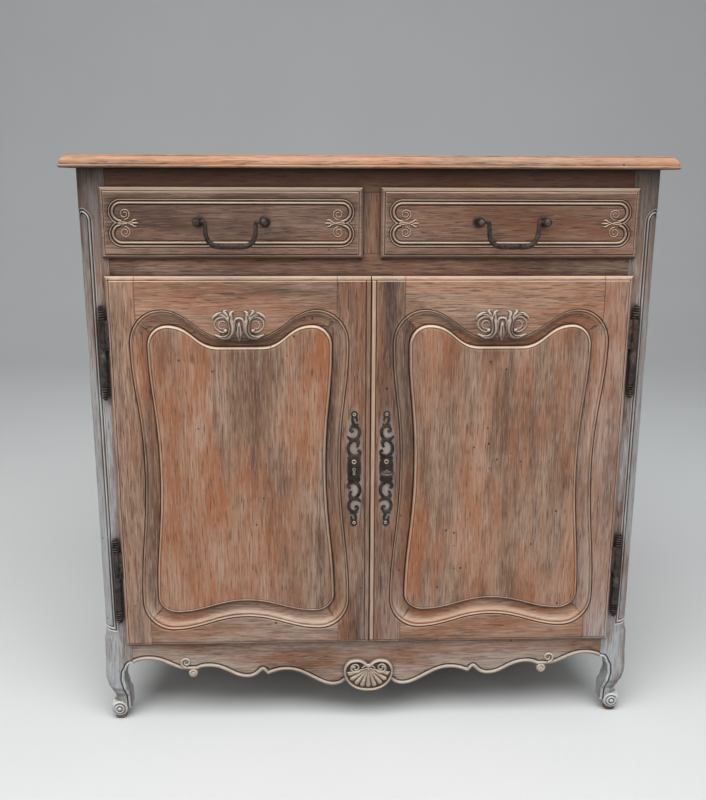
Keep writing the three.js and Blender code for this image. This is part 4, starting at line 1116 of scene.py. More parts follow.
legOutside = [(0, -11), (36, -11), (46, -10), (58, -5), (72, 0.5), (88, 3), (120, 3.5), (160, 3), (174, 0),
              (178, 0)]
legInside = [(0, -41), (40, -41), (52, -40.5), (68, -36.5), (86, -33.5), (98, -34.5), (110, -40),
             (124, -50), (178, -50)]
kneeShare = 0.78
foot = {"x": 460.5, "y": 21.5, "z": 22.0, "padSides": 32, "padRounding": 0.45}
# half width, height, and wear and painted shading of the block under the scroll
padProfile = [(8.6, 0.0, 0.0), (9.3, 0.8, 0.3), (9.4, 5.0, 0.1), (8.6, 12.0, 0.0), (7.6, 17.0, -0.6),
              (7.0, 19.0, -1.0)]


def along(table, height):
    heights = [h for h, _ in table]
    k = int(np.clip(np.searchsorted(heights, height), 1, len(table) - 1))
    (h0, v0), (h1, v1) = table[k - 1], table[k]
    t = np.clip((height - h0) / (h1 - h0), 0, 1)
    return v0 + (v1 - v0) * t * t * (3 - 2 * t)


def apronLine(perCurve=14):
    line = []
    for handles in apronEdge:
        for t in np.linspace(0, 1, perCurve, endpoint=False):
            line.append(bezier(*handles, t))
    line.append(np.array(apronEdge[-1][-1], float))
    return np.array(line)


def innerEdgeLine():
    # the same edge carried on down the inside of the leg, for measuring the bead's distance
    leg = [(post["halfWidth"] + along(legInside, z), z) for z in np.arange(116, 23, -3.0)]
    return np.vstack([apronLine()[70:], np.array(leg)])


def edgeDistance(x, z, line):
    a = line[:-1]
    d = line[1:] - a
    p = np.stack([x, z], -1)[..., None, :] - a
    t = np.clip((p * d).sum(-1) / (d * d).sum(-1), 0, 1)
    return np.sqrt(((p - t[..., None] * d) ** 2).sum(-1)).min(-1)


def makeApron():
    low, high = boxOf("apron_rail")
    half = apronLine()
    line = np.vstack([half[::-1] * (-1, 1), half[1:]])
    columns = np.clip(line[:, 0], low.x, high.x)
    slope = np.gradient(line[:, 1]) / np.maximum(np.gradient(line[:, 0]), 0.05)
    stretch = np.minimum(np.sqrt(1 + slope ** 2), apron["steepest"])
    rows = [line[:, 1] + k[0] * stretch for k in apronBead]
    rows += [rows[-1] + (high.z - rows[-1]) * share for share in apron["faceShares"]]
    z = np.array(rows)
    x = np.broadcast_to(columns, z.shape).copy()
    depth, wearAndShading = profileAt(apronBead, edgeDistance(x, z, line))
    depth[0], wearAndShading[0] = apronBead[0][1:]
    depth[-1] += apron["topEase"]

    # the lower sliding bolt drops into a mortise cut from behind
    boltLow, boltHigh = boxOf("door_bolt_lower")
    offBolt = np.abs(x - (boltLow.x + boltHigh.x) / 2)
    isMortise = (offBolt < apron["mortiseHalf"]) & (z > boltLow.z - apron["mortiseDrop"])
    back = np.where(isMortise, boltLow.y - apron["mortiseGap"], high.y)
    board = slabGrid("apronBoard", x, z, depth, back, wearAndShading, 1, apron["plank"])

    strokes = []
    drops = []
    for side in (-1, 1):
        c = apronCurl
        curl = spiralStroke((side * c["x"], c["z"]), c["y"], c["outer"], c["inner"], c["turns"], c["radius"],
                            270, side, 0.6)
        strokes.append((curl, apronCurlWearAndShading))
        c = apronDrop
        rim = spiralStroke((side * c["x"], c["z"]), c["y"], c["outer"], c["inner"], c["turns"], c["radius"],
                           90, -side, 0.7)
        strokes.append((rim, apronCurlWearAndShading))
        drops.append(turned("drop", dropProfile, "y", (side * dropCentre["x"], 0, dropCentre["z"]), 28))
    curls = beads("apronCurls", strokes, "apronAcross", 0.0, 0.9, 12)
    whole = joinPieces("apronCarved", [board, curls, *drops])
    settle(whole, "carcass", "apronAcross", "aged_oak", "apron_rail")


shell = {"hub": (0.0, 104.5), "fluteCount": 9, "firstAngle": 17.0, "rimInset": 6.6, "ribWidth": 5.6,
         "ribHeight": 3.9, "ribSides": 12}
shellOutline = [(0, 112), (6, 117), (13.5, 121.5), (22.5, 123), (34, 120.5), (42, 112.5), (45.8, 102),
                (45, 91), (40.5, 79.5), (32.5, 70), (21, 63), (9.5, 60), (0, 59.5)]
shellProfile = [(0.0, 3.0, 0.0), (0.0, -4.0, 0.2), (0.5, -6.2, 0.5), (1.5, -7.8, 0.8), (2.8, -8.4, 0.9),
                (4.1, -7.9, 0.8), (5.0, -6.6, 0.3), (5.5, -5.0, -1.0), (6.6, -4.6, -0.9), (9.5, -4.2, -0.8)]


def makeShell():
    right = smoothPath(shellOutline, 8)
    outline = np.vstack([right, right[-2:0:-1] * (-1, 1)])
    tangent = np.roll(outline, -1, 0) - np.roll(outline, 1, 0)
    tangent /= np.linalg.norm(tangent, axis=1)[:, None]
    inward = np.stack([tangent[:, 1], -tangent[:, 0]], -1)
    loops = []
    for inset, y, _ in shellProfile:
        line = outline + inward * inset
        loops.append(np.stack([line[:, 0], np.full(len(line), y), line[:, 1]], -1))
    dish = loopStack("shellDish", loops, [w for _, _, w in shellProfile], 9.1, 30)

    # one rib from the hub outwards along -z, half round, blunt at its outer end
    sides = shell["ribSides"]
    shares = np.concatenate([np.linspace(0.02, 0.86, 10), 0.86 + 0.14 * np.sin(np.linspace(0.2, 1.5, 6))])
    ribLoops = []
    for t in shares:
        blunt = math.sqrt(max(0.0, 1 - (max(0.0, t - 0.86) / 0.141) ** 2))
        width = (0.18 + 0.82 * t ** 1.1) * blunt + 0.01
        rise = (0.4 + 0.6 * t) * blunt
        turn = np.linspace(0, 2 * np.pi, sides, endpoint=False)
        ribLoops.append(np.stack([width * np.cos(turn), rise * np.sin(turn), np.full(sides, -t)], -1))
    ribFaces = []
    for level in range(len(ribLoops) - 1):
        here, above = level * sides, (level + 1) * sides
        for k in range(sides):
            after = (k + 1) % sides
            ribFaces.append((here + k, here + after, above + after, above + k))
    ribFaces.append(tuple(range(sides)))
    ribFaces.append(tuple(range((len(ribLoops) - 1) * sides, len(ribLoops) * sides)))
    ribMesh = bpy.data.meshes.new("rib")
    ribMesh.from_pydata((np.vstack(ribLoops)).tolist(), [], ribFaces)
    ribMesh.attributes.new("wearAndShading", "FLOAT", "POINT").data.foreach_set(
        "value", np.full(len(ribMesh.vertices), 0.75, np.float32))
    ribWork = bmesh.new()
    ribWork.from_mesh(ribMesh)
    bmesh.ops.recalc_face_normals(ribWork, faces=ribWork.faces)
    ribWork.to_mesh(ribMesh)
    ribWork.free()
    rib = bpy.data.objects.new("rib", ribMesh)
    bpy.context.scene.collection.objects.link(rib)

    hub = shell["hub"]
    inner = outline + inward * shell["rimInset"]
    angles = []
    lengths = []
    for k in range(shell["fluteCount"]):
        spread = 180 - 2 * shell["firstAngle"]
        bearing = math.radians(180 + shell["firstAngle"] + spread * k / (shell["fluteCount"] - 1))
        direction = np.array([math.cos(bearing), math.sin(bearing)])
        away = inner - np.array(hub)
        alongRay = away @ direction
        offRay = np.abs(away @ np.array([-direction[1], direction[0]]))
        reach = alongRay[(alongRay > 5)][np.argmin(offRay[alongRay > 5])]
        angles.append(math.atan2(-direction[0], -direction[1]))
        lengths.append(reach * millimetre)
    points = [(hub[0], -3.9, hub[1])] * len(angles)
    settings = {"Rib": rib, "Rib Width": shell["ribWidth"] * millimetre,
                "Rib Height": shell["ribHeight"] * millimetre, "Material": finishes["shellAcross"]}
    fan = grown("shellFan", points, [], {"fluteAngle": angles, "fluteLength": lengths}, "flute", settings)
    bpy.data.objects.remove(rib)
    strokes = []
    for side in (-1, 1):
        curl = spiralStroke((side * 23.5, 106.5), -5.6, 10.5, 2.0, 1.5, 2.3, 215 if side > 0 else -35,
                            side, 0.6)
        strokes.append((curl, 0.75))
        eye = flatStroke([[31, 103, 0.6], [29, 107.5, 1.9], [25.5, 109, 1.5], [23.5, 107.5, 0.8]], -6.0,
                         side)
        strokes.append((eye, 0.8))
        leaf = flatStroke([[9, 104, 1.2], [17, 100.5, 1.9], [26, 97.5, 2.4], [35, 96.5, 2.0],
                           [40, 97.5, 0.8]], -5.6, side)
        strokes.append((leaf, 0.8))
    arch = flatStroke([[-12, 106, 1.2], [-6, 110.5, 2.1], [0, 111.5, 2.5], [6, 110.5, 2.1],
                       [12, 106, 1.2]], -6.0)
    strokes.append((arch, 0.8))
    tie = flatStroke([[-11, 101.5, 1.0], [-5, 104.5, 1.7], [0, 105.2, 2.0], [5, 104.5, 1.7],
                      [11, 101.5, 1.0]], -5.8)
    strokes.append((tie, 0.8))
    curls = beads("shellCurls", strokes, "shellAcross", -4.0, 0.9, 10)
    nub = turned("shellNub", [(0.3, -7.4, 0.8), (2.2, -6.8, 0.7), (3.0, -5.0, 0.2), (3.0, -2.0, 0.0),
                              (0.3, -1.9, 0.0)], "y", (hub[0], 0, hub[1] - 2), 16)
    whole = joinPieces("apronShell", [dish, fan, curls, nub])
    settle(whole, "carcass", "shellAcross", "aged_oak")


# bead round the post's hollowed corner: distance from the middle of the hollow, depth, wear and painted
# shading
postProfile = [(0.0, 2.1, 0.05), (7.0, 2.0, 0.05), (9.6, 1.5, 0.1), (10.6, 1.6, 0.0), (11.2, 3.2, -0.9),
               (12.6, 3.2, -0.9), (13.3, 1.2, 0.2), (14.4, 0.4, 0.7), (15.6, 0.4, 0.7), (16.5, 1.2, 0.2),
               (17.2, 2.8, -0.9), (18.4, 2.8, -0.9), (19.1, 0.9, 0.2), (20.0, 0.2, 0.6), (21.0, 0.2, 0.5),
               (21.8, 0.9, -0.4), (22.6, 0.2, 0.0), (24.0, 0.0, 0.0), (28.0, 0.0, 0.0)]
postHollow = {"spring": 911.0, "rise": 22.0, "base": 181.0, "reach": 22.0}


def postSectionPoints():
    # (x, y, arc position, facing) from the inner front corner round to the inner back, without the side sign
    outer, r = post["halfWidth"], post["corner"]
    inner = outer - post["width"]
    flat = outer - r
    points = []
    for x in np.concatenate([[inner, inner + 0.5, inner + 1.0],
                             np.linspace(inner + 2, flat, 24, endpoint=False)]):
        eased = 0.5 * max(0.0, 1 - (x - inner)) ** 2
        points.append((x, eased, r * math.pi / 4 + flat - x, 1.0))
    for k in range(61):
        a = math.pi / 2 * k / 60
        points.append((flat + r * math.sin(a), r - r * math.cos(a), r * (math.pi / 4 - a), math.cos(a)))
    for y in (34.0, 40.0, post["depth"] - 0.6):
        points.append((outer, y, -r * math.pi / 4 - (y - r), 0.0))
    points.append((outer - 0.6, post["depth"], -60.0, 0.0))
    points.append((inner + 0.6, post["depth"], 90.0, 0.0))
    points.append((inner, post["depth"] - 0.6, 90.0, 0.0))
    points.append((inner, 4.0, 60.0, 0.0))
    return np.array(points)


def makePost(name, side):
    top = boxOf("front_post_" + name)[1].z
    section = postSectionPoints()
    x0, y0, s, facing = section.T
    r = post["corner"]
    angle = np.clip(math.pi / 4 - s / r, 0, math.pi / 2)
    outwardX, outwardY = np.sin(angle), -np.cos(angle)
    isFrontOrCorner = (facing > 0) | (np.abs(s) < r * math.pi / 4)
    outline = innerEdgeLine()
    h = postHollow
    fine = np.arange(h["spring"] - 3, h["spring"] + h["rise"] + 6, 1.0)
    base = np.arange(post["legTop"], 212, 1.0)
    levels = np.unique(np.concatenate([np.arange(24, post["legTop"], 2.0), base, np.arange(212, 905, 24.0),
                                       fine, [950, 975, top - 0.8, top]]))
    loops = []
    wearsAndShadings = []
    for z in levels:
        x, y = x0.copy(), y0.copy()
        if z <= post["legTop"]:
            outside = along(legOutside, z)
            width = outside - along(legInside, z)
            acrossX = (post["halfWidth"] - x0) / post["width"]
            acrossY = y0 / post["depth"]
            x = post["halfWidth"] + outside - acrossX * width
            forward = outside * np.clip(1 - acrossX / kneeShare, 0, None) if outside > 0 else outside
            y = (acrossY * (width - outside + forward) - forward) * post["depth"] / post["width"]
        wearAndShading = np.zeros(len(x))
        if z < 150:
            depth, wearAndShading = profileAt(apronBead, edgeDistance(x, np.full(len(x), z), outline) * 1.3)
            y = y + depth * facing ** 2
            wearAndShading = wearAndShading * facing
        if z >= h["base"] - 3 and z < 940:
            across = np.abs(s)
            if z > h["spring"]:
                across = np.hypot(s, (z - h["spring"]) * h["reach"] / h["rise"])
            elif z < h["base"] + h["reach"]:
                across = np.maximum(across, h["reach"] - (z - h["base"]))
            depth, wearAndShading = profileAt(postProfile, across)
            depth, wearAndShading = depth * isFrontOrCorner, wearAndShading * isFrontOrCorner
            x = x - outwardX * depth
            y = y - outwardY * depth
        loops.append(np.stack([side * x, y, np.full(len(x), z)], -1))
        wearsAndShadings.append(wearAndShading)
    shaft = loopStack("postShaft", loops, wearsAndShadings, 10.3 if side > 0 else 11.6, 30)

    f = foot
    scroll = [(0.4, -17.0, 0.9), (2.2, -16.7, 0.8), (3.7, -15.6, 0.3), (4.2, -13.6, -1.0),
              (5.2, -13.5, -1.0), (6.0, -15.2, 0.6), (7.6, -15.7, 0.9), (9.0, -15.0, 0.5),
              (9.6, -12.9, -1.0), (10.4, -12.8, -1.0), (11.2, -13.9, 0.5), (12.8, -13.9, 0.8),
              (14.2, -12.6, 0.6), (14.9, -10.5, 0.3), (14.6, -4.0, 0.1), (14.6, 6.0, 0.0),
              (13.6, 11.5, 0.0), (10.5, 13.8, 0.0), (0.4, 14.2, 0.0)]
    sideScroll = [(r1 * 0.97, -h1, w1) for r1, h1, w1 in scroll]
    centre = (side * f["x"], f["y"], f["z"])
    facingFront = turned("footScroll", scroll, "y", centre, 36)
    facingSide = turned("footSide", [(a, side * b, w) for a, b, w in sideScroll], "x", centre, 36)
    piece = joinPieces("frontPost" + name.title(), [shaft, facingFront, facingSide])
    settle(piece, "carcass", "limedUp", "limed_oak", "front_post_" + name)

    loops = []
    wearsAndShadings = []
    turn = np.linspace(0, 2 * np.pi, f["padSides"], endpoint=False)
    squareX = np.sign(np.cos(turn)) * np.abs(np.cos(turn)) ** f["padRounding"]
    squareY = np.sign(np.sin(turn)) * np.abs(np.sin(turn)) ** f["padRounding"]
    for half, z, wornAndShaded in padProfile:
        level = np.full(f["padSides"], z)
        loops.append(np.stack([side * f["x"] + half * squareX, f["y"] + half * squareY, level], -1))
        wearsAndShadings.append(wornAndShaded)
    pad = loopStack("footPad" + name.title(), loops, wearsAndShadings, 12.0, 40)
    settle(pad, "carcass", "agedAcross", "aged_oak")


makeApron()
makeShell()
for name, side in sideNames.items():
    makePost(name, side)
print("apron, shell, posts and legs done")


# ---- plain carcass boards ----

plainBoards = [
    ("friezeRail", "frieze_rail", "friezeAcross", "aged_oak"),
    # the mid rail takes the darker drawer finish, partly as painted shade under the drawer lips and partly
    # as dust
    ("midRail", "mid_rail", "drawerAcross", "aged_oak"),
    ("drawerDivider", "drawer_divider", "agedUp", "aged_oak"),
    ("dustBoard", "dust_board", "innerAcross", "inner_oak"),
    ("shelfBoard", "cupboard_shelf", "innerAcross", "inner_oak"),
    ("floorBoard", "cupboard_floor", "innerAcross", "inner_oak"),
]
for index, (piece, node, finish, slotName) in enumerate(plainBoards):
    settle(easedNode(piece, node, 0.8, 13 + index), "carcass", finish, slotName, node)


backBoards = {"shares": [0.0, 0.16, 0.34, 0.49, 0.67, 0.83, 1.0], "ease": 1.4, "firstPlank": 50,
              "plankStep": 1.7}


def makeBackBoards():
    # upright boards with eased edges, butted side by side
    low, high = boxOf("back_panel")
    b = backBoards
    shares = b["shares"]
    boards = []
    for k in range(len(shares) - 1):
        x = [low.x + (high.x - low.x) * shares[k + j] for j in (0, 1)]
        plank = b["firstPlank"] + b["plankStep"] * k
        boards.append(easedBox("board", x, (low.y, high.y), (low.z, high.z), b["ease"], plank))
    settle(joinPieces("backPanel", boards), "carcass", "innerUp", "inner_oak", "back_panel")


makeBackBoards()
sideBoards = [
    ("rearPost", "rear_post_", "agedUp", 1.5), ("sideTopRail", "side_top_rail_", "agedDeep", 1.0),
    ("sideBottomRail", "side_bottom_rail_", "agedDeep", 1.0), ("sidePanel", "side_panel_", "agedUp", 2.2),
]
drawerBoards = [
    ("drawerInnerSide", "drawer_inner_side_", "innerDeep"),
    ("drawerOuterSide", "drawer_outer_side_", "innerDeep"),
    ("drawerBack", "drawer_back_", "innerAcross"), ("drawerBottom", "drawer_bottom_", "innerAcross"),
]
for name, side in sideNames.items():
    for index, (piece, node, finish, ease) in enumerate(sideBoards):
        board = easedNode(piece + name.title(), node + name, ease, 20 + index + side)
        settle(board, "carcass", finish, "aged_oak", node + name)
    for index, (piece, node, finish) in enumerate(drawerBoards):
        board = easedNode(piece + name.title(), node + name, 0.7, 30 + index + side)
        settle(board, "drawer_" + name, finish, "inner_oak", node + name)
print("carcass and drawer boards done")


# ---- runners, cleats and the other small wooden pieces inside ----

guide = {"gap": 1.2, "thick": 15.8, "front": 26, "z": (861.0, 879.0), "ease": 1.0, "plank": 41}
cleat = {"letIn": 1, "thick": 16, "y": (70, 405), "tall": 21.6, "gap": 0.4, "ease": 1.2, "plank": 43}


def makeRunners():
    dividerBack = boxOf("drawer_divider")[1].y
    shelfUnder = boxOf("cupboard_shelf")[0].z
    for name, side in sideNames.items():
        g = guide
        drawer = boxOf("drawer_outer_side_" + name)
        reach = max(abs(drawer[0].x), abs(drawer[1].x)) + g["gap"]
        x = sorted([side * reach, side * (reach + g["thick"])])
        strip = easedBox("drawerGuide" + name.title(), x, (g["front"], dividerBack), g["z"], g["ease"],
                         g["plank"])
        settle(strip, "carcass", "innerDeep", "inner_oak")
        c = cleat
        panel = boxOf("side_panel_" + name)
        wall = min(abs(panel[0].x), abs(panel[1].x)) - c["letIn"]
        x = sorted([side * wall, side * (wall - c["thick"])])
        z = (shelfUnder - c["gap"] - c["tall"], shelfUnder - c["gap"])
        strip = easedBox("shelfCleat" + name.title(), x, c["y"], z, c["ease"], c["plank"])
        settle(strip, "carcass", "innerDeep", "inner_oak")


makeRunners()


# ---- ironwork ----

hinge = {"barrel": 5.5, "play": 0.25, "finial": 24.0, "tip": 3.2, "rings": 5, "ringOut": 6.3,
         "ringTaper": 0.22, "ringIn": 3.9, "leaf": 1.0, "leafFrom": 5, "leafTo": 55, "leafInDoor": 18,
         "leafInPost": 20}


def makeHinge(name, side, place, isDoor):
    node = ("hinge_door_half_" if isDoor else "hinge_pin_half_") + place + "_" + name
    low, high = boxOf(node)
    h = hinge
    frameHalf = boxOf("hinge_pin_half_" + place + "_" + name)
    split = boxOf("hinge_door_half_" + place + "_" + name)[0].z
    axisX = (frameHalf[0].x + frameHalf[1].x) / 2
    axisY = frameHalf[0].y + h["barrel"] + 1
    direction = 1 if isDoor else -1
    end = high.z if isDoor else low.z
    r = h["barrel"]
    shoulder = end - direction * h["finial"]
    seat = split + direction * h["play"]
    profile = [(0.5, seat, 0.2), (r - 0.4, seat, 0.4), (r, split + direction * 0.8, 0.7),
               (r, (split + shoulder) / 2, 0.3), (r, shoulder - direction * 0.8, 0.5),
               (r - 0.9, shoulder, -0.4)]
    pitch = (h["finial"] - h["tip"]) / h["rings"]
    for k in range(h["rings"]):
        start = shoulder + direction * pitch * k
        swell = h["ringOut"] - h["ringTaper"] * k
        slim = h["ringIn"]
        for radius, share, wornAndShaded in [(slim, 0.10, -0.9), (swell, 0.32, 0.9), (swell, 0.66, 1.0),
                                    (slim, 0.90, -0.9)]:
            profile.append((radius, start + direction * pitch * share, wornAndShaded))
    profile += [(3.2, end - direction * 3.0, 0.0), (3.6, end - direction * 1.8, 0.6),
                (2.2, end - direction * 0.4, 0.7), (0.4, end, 0.6)]
    barrel = turned("barrel", profile, "z", (axisX, axisY, 0), 24, 38)
    leafHeight = sorted([split + direction * h["leafFrom"], split + direction * h["leafTo"]])
    if isDoor:
        stile = boxOf("door_hinge_stile_" + name)
        edge = max(abs(stile[0].x), abs(stile[1].x))
        x = sorted([side * (edge - h["leafInDoor"]), axisX])
        leaf = easedBox("leaf", x, (axisY - h["leaf"], axisY + h["leaf"]), leafHeight, 0.3)
    else:
        leaf = easedBox("leaf", (axisX - h["leaf"], axisX + h["leaf"]), (axisY, h["leafInPost"]),
                        leafHeight, 0.3)
    piece = joinPieces("hinge" + ("Door" if isDoor else "Frame") + place.title() + name.title(),
                       [barrel, leaf])
    settle(piece, "door_" + name if isDoor else "carcass", "iron", "dark_iron", node)


for name, side in sideNames.items():
    for place in ("upper", "lower"):
        makeHinge(name, side, place, True)
        makeHinge(name, side, place, False)

bail = {"pivotDepth": 7, "gripDrop": -38.3, "gripHalf": 17.5, "gripRadius": 4.4, "collarRadius": 1.25,
        "collarHalf": 1.6, "bellyRadius": 0.6, "bellyHalf": 7.5, "collars": (-15.5, -11.5, 11.5, 15.5)}
# left half of the bail from its pivot, as [x, z, radius]
bailArm = [[-49.5, 0.0, 2.3], [-46.0, 0.4, 2.6], [-42.4, 1.2, 3.3], [-40.3, -3.0, 3.4], [-40.0, -11.0, 3.5],
           [-39.0, -21.0, 3.8], [-35.5, -30.0, 4.1], [-28.0, -36.3, 4.4], [-19.5, -38.2, 4.6]]


def makeHandle(name):
    low, high = boxOf("bail_handle_" + name)
    middleX = (low.x + high.x) / 2
    inner = boxOf("handle_post_inner_" + name)
    pivotY = inner[0].y + bail["pivotDepth"]
    pivotZ = (inner[0].z + inner[1].z) / 2
    grip = []
    for x in np.linspace(-bail["gripHalf"], bail["gripHalf"], 29):
        ridge = min(abs(x - c) for c in bail["collars"])
        swell = bail["collarRadius"] * max(0.0, 1 - ridge / bail["collarHalf"])
        swell += bail["bellyRadius"] * max(0.0, 1 - (x / bail["bellyHalf"]) ** 2)
        grip.append([x, bail["gripDrop"], bail["gripRadius"] + swell])
    path = bailArm + grip + [[-a, b, c] for a, b, c in reversed(bailArm)]
    line = flatStroke(path, pivotY, 1, (middleX, pivotZ), 3)
    rod = beads("bailHandle" + name.title(), [(line, 0.35)], "iron", pivotY, 1.0, 16)
    settle(rod, "bail_" + name, "iron", "dark_iron", "bail_handle_" + name)
    for label, node in (("Inner", "handle_post_inner_" + name), ("Outer", "handle_post_outer_" + name)):
        low, high = boxOf(node)
        x = (low.x + high.x) / 2
        face = boxOf("drawer_front_" + name)[0].y - 0.2
        profile = [(0.4, high.y, 0.2), (2.9, high.y - 0.2, 0.2), (2.9, high.y - 3.0, 0.0),
                   (6.6, high.y - 3.2, 0.4), (6.9, high.y - 6.8, 0.2), (2.9, high.y - 7.2, -0.5),
                   (2.9, face + 0.9, 0.0), (8.6, face + 0.9, 0.0), (8.9, face - 0.6, 0.6),
                   (7.6, face - 2.0, 0.4), (5.2, face - 2.9, -0.6), (4.4, face - 4.4, 0.0),
                   (3.5, face - 9.0, 0.1), (3.2, face - 15.5, 0.2), (3.6, pivotY + 7.6, -0.5),
                   (4.9, pivotY + 6.6, 0.3)]
        for k in range(9):
            a = math.radians(40 + 136 * k / 8)
            profile.append((7.0 * math.sin(a), pivotY + 7.0 * math.cos(a), 0.2 + 0.5 * (k > 5)))
        knob = turned("handlePost" + label + name.title(), profile, "y", (x, 0, pivotZ), 26, 40)
        settle(knob, "drawer_" + name, "iron", "dark_iron", node)


for name in sideNames:
    makeHandle(name)

# pierced plate, as flattened scrolls about its middle: [x, z, half width]
scrollWork = [
    [[3.5, 94.5, 1.4], [4.6, 98.5, 1.5], [2.4, 102.2, 1.5], [-1.6, 102.4, 1.5], [-3.9, 99.0, 1.5],
     [-2.6, 95.2, 1.4],
     [1.0, 94.0, 1.4], [4.4, 91.2, 1.3], [5.2, 88.0, 1.2], [3.6, 85.6, 0.7]],
    [[-2.4, 96.0, 1.3], [-3.4, 90.5, 1.6], [-2.4, 85.0, 2.1], [0.0, 80.5, 2.4], [4.0, 79.0, 1.6],
     [7.4, 81.8, 0.8]],
    [[-6.8, 79.2, 0.7], [-3.4, 77.4, 2.0], [2.0, 77.2, 2.2], [7.4, 73.5, 2.3], [9.2, 66.5, 2.4],
     [7.6, 59.5, 2.3],
     [2.8, 54.5, 2.3], [-3.2, 54.0, 1.9]],
    [[-3.0, 76.4, 1.5], [-6.8, 72.6, 1.6], [-6.4, 68.6, 1.6], [-3.0, 67.6, 1.5], [-1.6, 70.2, 0.9]],
    [[-12.0, 59.6, 1.0], [-8.6, 55.8, 2.0], [-3.6, 53.6, 2.6], [2.4, 53.0, 2.5], [7.2, 51.0, 2.0],
     [9.6, 46.6, 0.9]],
    [[0.2, 53.5, 2.2], [-5.2, 49.6, 2.3], [-9.6, 43.0, 2.3], [-10.2, 35.0, 2.4], [-7.4, 28.0, 2.5],
     [-2.0, 24.2, 2.6]],
    [[1.6, 53.0, 1.6], [6.6, 47.2, 1.9], [6.2, 41.4, 1.6], [3.0, 41.2, 0.9]],
    [[2.0, 24.0, 2.4], [8.0, 25.4, 2.4], [10.8, 30.2, 2.0], [8.6, 34.2, 1.6], [5.6, 32.4, 0.9]],
]
scrollPlate = [(0, 26.5), (5, 25.4), (9.6, 24.2), (11.4, 20.4), (10.0, 16.8), (11.6, 12.4), (12.0, 1.0),
               (11.6, -8.0), (10.0, -13.0), (11.4, -17.6), (9.6, -21.8), (5, -23.4), (0, -24.6)]


escutcheon = {"lift": 2.0, "scrollSwell": 1.08, "scrollWearAndShading": 0.35, "flatness": 0.5, "sway": 0.2}
# radius, depth from the plate's face, and wear and painted shading of a ring nail; then each nail's height
# and size
nailProfile = [(0.4, 0.5, -1.0), (1.6, 0.3, -1.0), (2.2, -0.5, 0.2), (2.9, -1.1, 1.0), (3.7, -0.9, 0.9),
               (4.3, 0.2, -0.3), (4.4, 0.9, -0.5), (0.4, 1.0, 0.0)]
nails = {"ringNail": (14.0, 1.0), "topNail": (98.4, 0.72), "lowNail": (-97.6, 0.72)}
# the keyhole's worn rim below its round top
keyholeRim = [[0.9, -1.6, 0.6], [1.5, -7.8, 0.7], [0, -8.8, 0.8], [-1.5, -7.8, 0.7], [-0.9, -1.6, 0.6]]


def makeEscutcheon(name, side):
    low, high = boxOf("escutcheon_" + name)
    e = escutcheon
    centre = ((low.x + high.x) / 2, (low.z + high.z) / 2 + e["lift"])
    y = (low.y + high.y) / 2
    strokes = []
    for turn in (1, -1):
        for line in scrollWork:
            stroke = [[x * turn, z * turn, r * e["scrollSwell"]] for x, z, r in line]
            strokes.append((flatStroke(stroke, y, -side, centre, 5), e["scrollWearAndShading"]))
    scrolls = beads("scrolls", strokes, "iron", y, e["flatness"], 10)
    right = smoothPath(scrollPlate, 5)
    outline = np.vstack([right, right[-2:0:-1] * (-1, 1)]) + centre
    middle = outline.mean(0)
    loops = []
    wearsAndShadings = []
    plateEdge = [(0.6, high.y, 0.0), (0.0, high.y - 0.4, 0.0), (0.0, low.y + 0.5, 0.5), (0.6, low.y, 0.6),
                 (1.6, low.y + 0.05, 0.2)]
    for inset, depth, wornAndShaded in plateEdge:
        away = outline - middle
        line = middle + away * (1 - inset / np.linalg.norm(away, axis=1)[:, None])
        loops.append(np.stack([line[:, 0], np.full(len(line), depth), line[:, 1]], -1))
        wearsAndShadings.append(wornAndShaded)
    plate = loopStack("plate", loops, wearsAndShadings, 0, 30)
    piece = joinPieces("escutcheon" + name.title(), [scrolls, plate])
    settle(piece, "door_" + name, "iron", "dark_iron", "escutcheon_" + name)

    for label, (rise, size) in nails.items():
        x = centre[0] - side * (0.0 if label == "ringNail" else e["sway"])
        rows = [(radius * size, low.y + depth, wornAndShaded) for radius, depth, wornAndShaded in nailProfile]
        nail = turned(label + name.title(), rows, "y", (x, 0, centre[1] + rise), 20, 50)
        settle(nail, "door_" + name, "nail", "dark_iron")
    if side < 0:
        key = boxOf("key")
        eye = (centre[0], (key[0].z + key[1].z) / 2)
        rim = flatStroke(keyholeRim, low.y - 0.1, 1, eye)
        top = spiralStroke((eye[0], eye[1] + 0.6), low.y - 0.1, 2.4, 2.3, 0.85, 0.65, 290, 1, 1.0)
        hole = beads("keyholeRim" + name.title(), [(rim, 0.3), (top, 0.3)], "nail", low.y, 0.8, 8)
        settle(hole, "door_" + name, "nail", "dark_iron")


for name, side in sideNames.items():
    makeEscutcheon(name, side)


keyBow = {"setBack": 10, "halfWide": 10.2, "halfDeep": 7.8, "radius": 2.1, "swell": 0.25, "steps": 41}


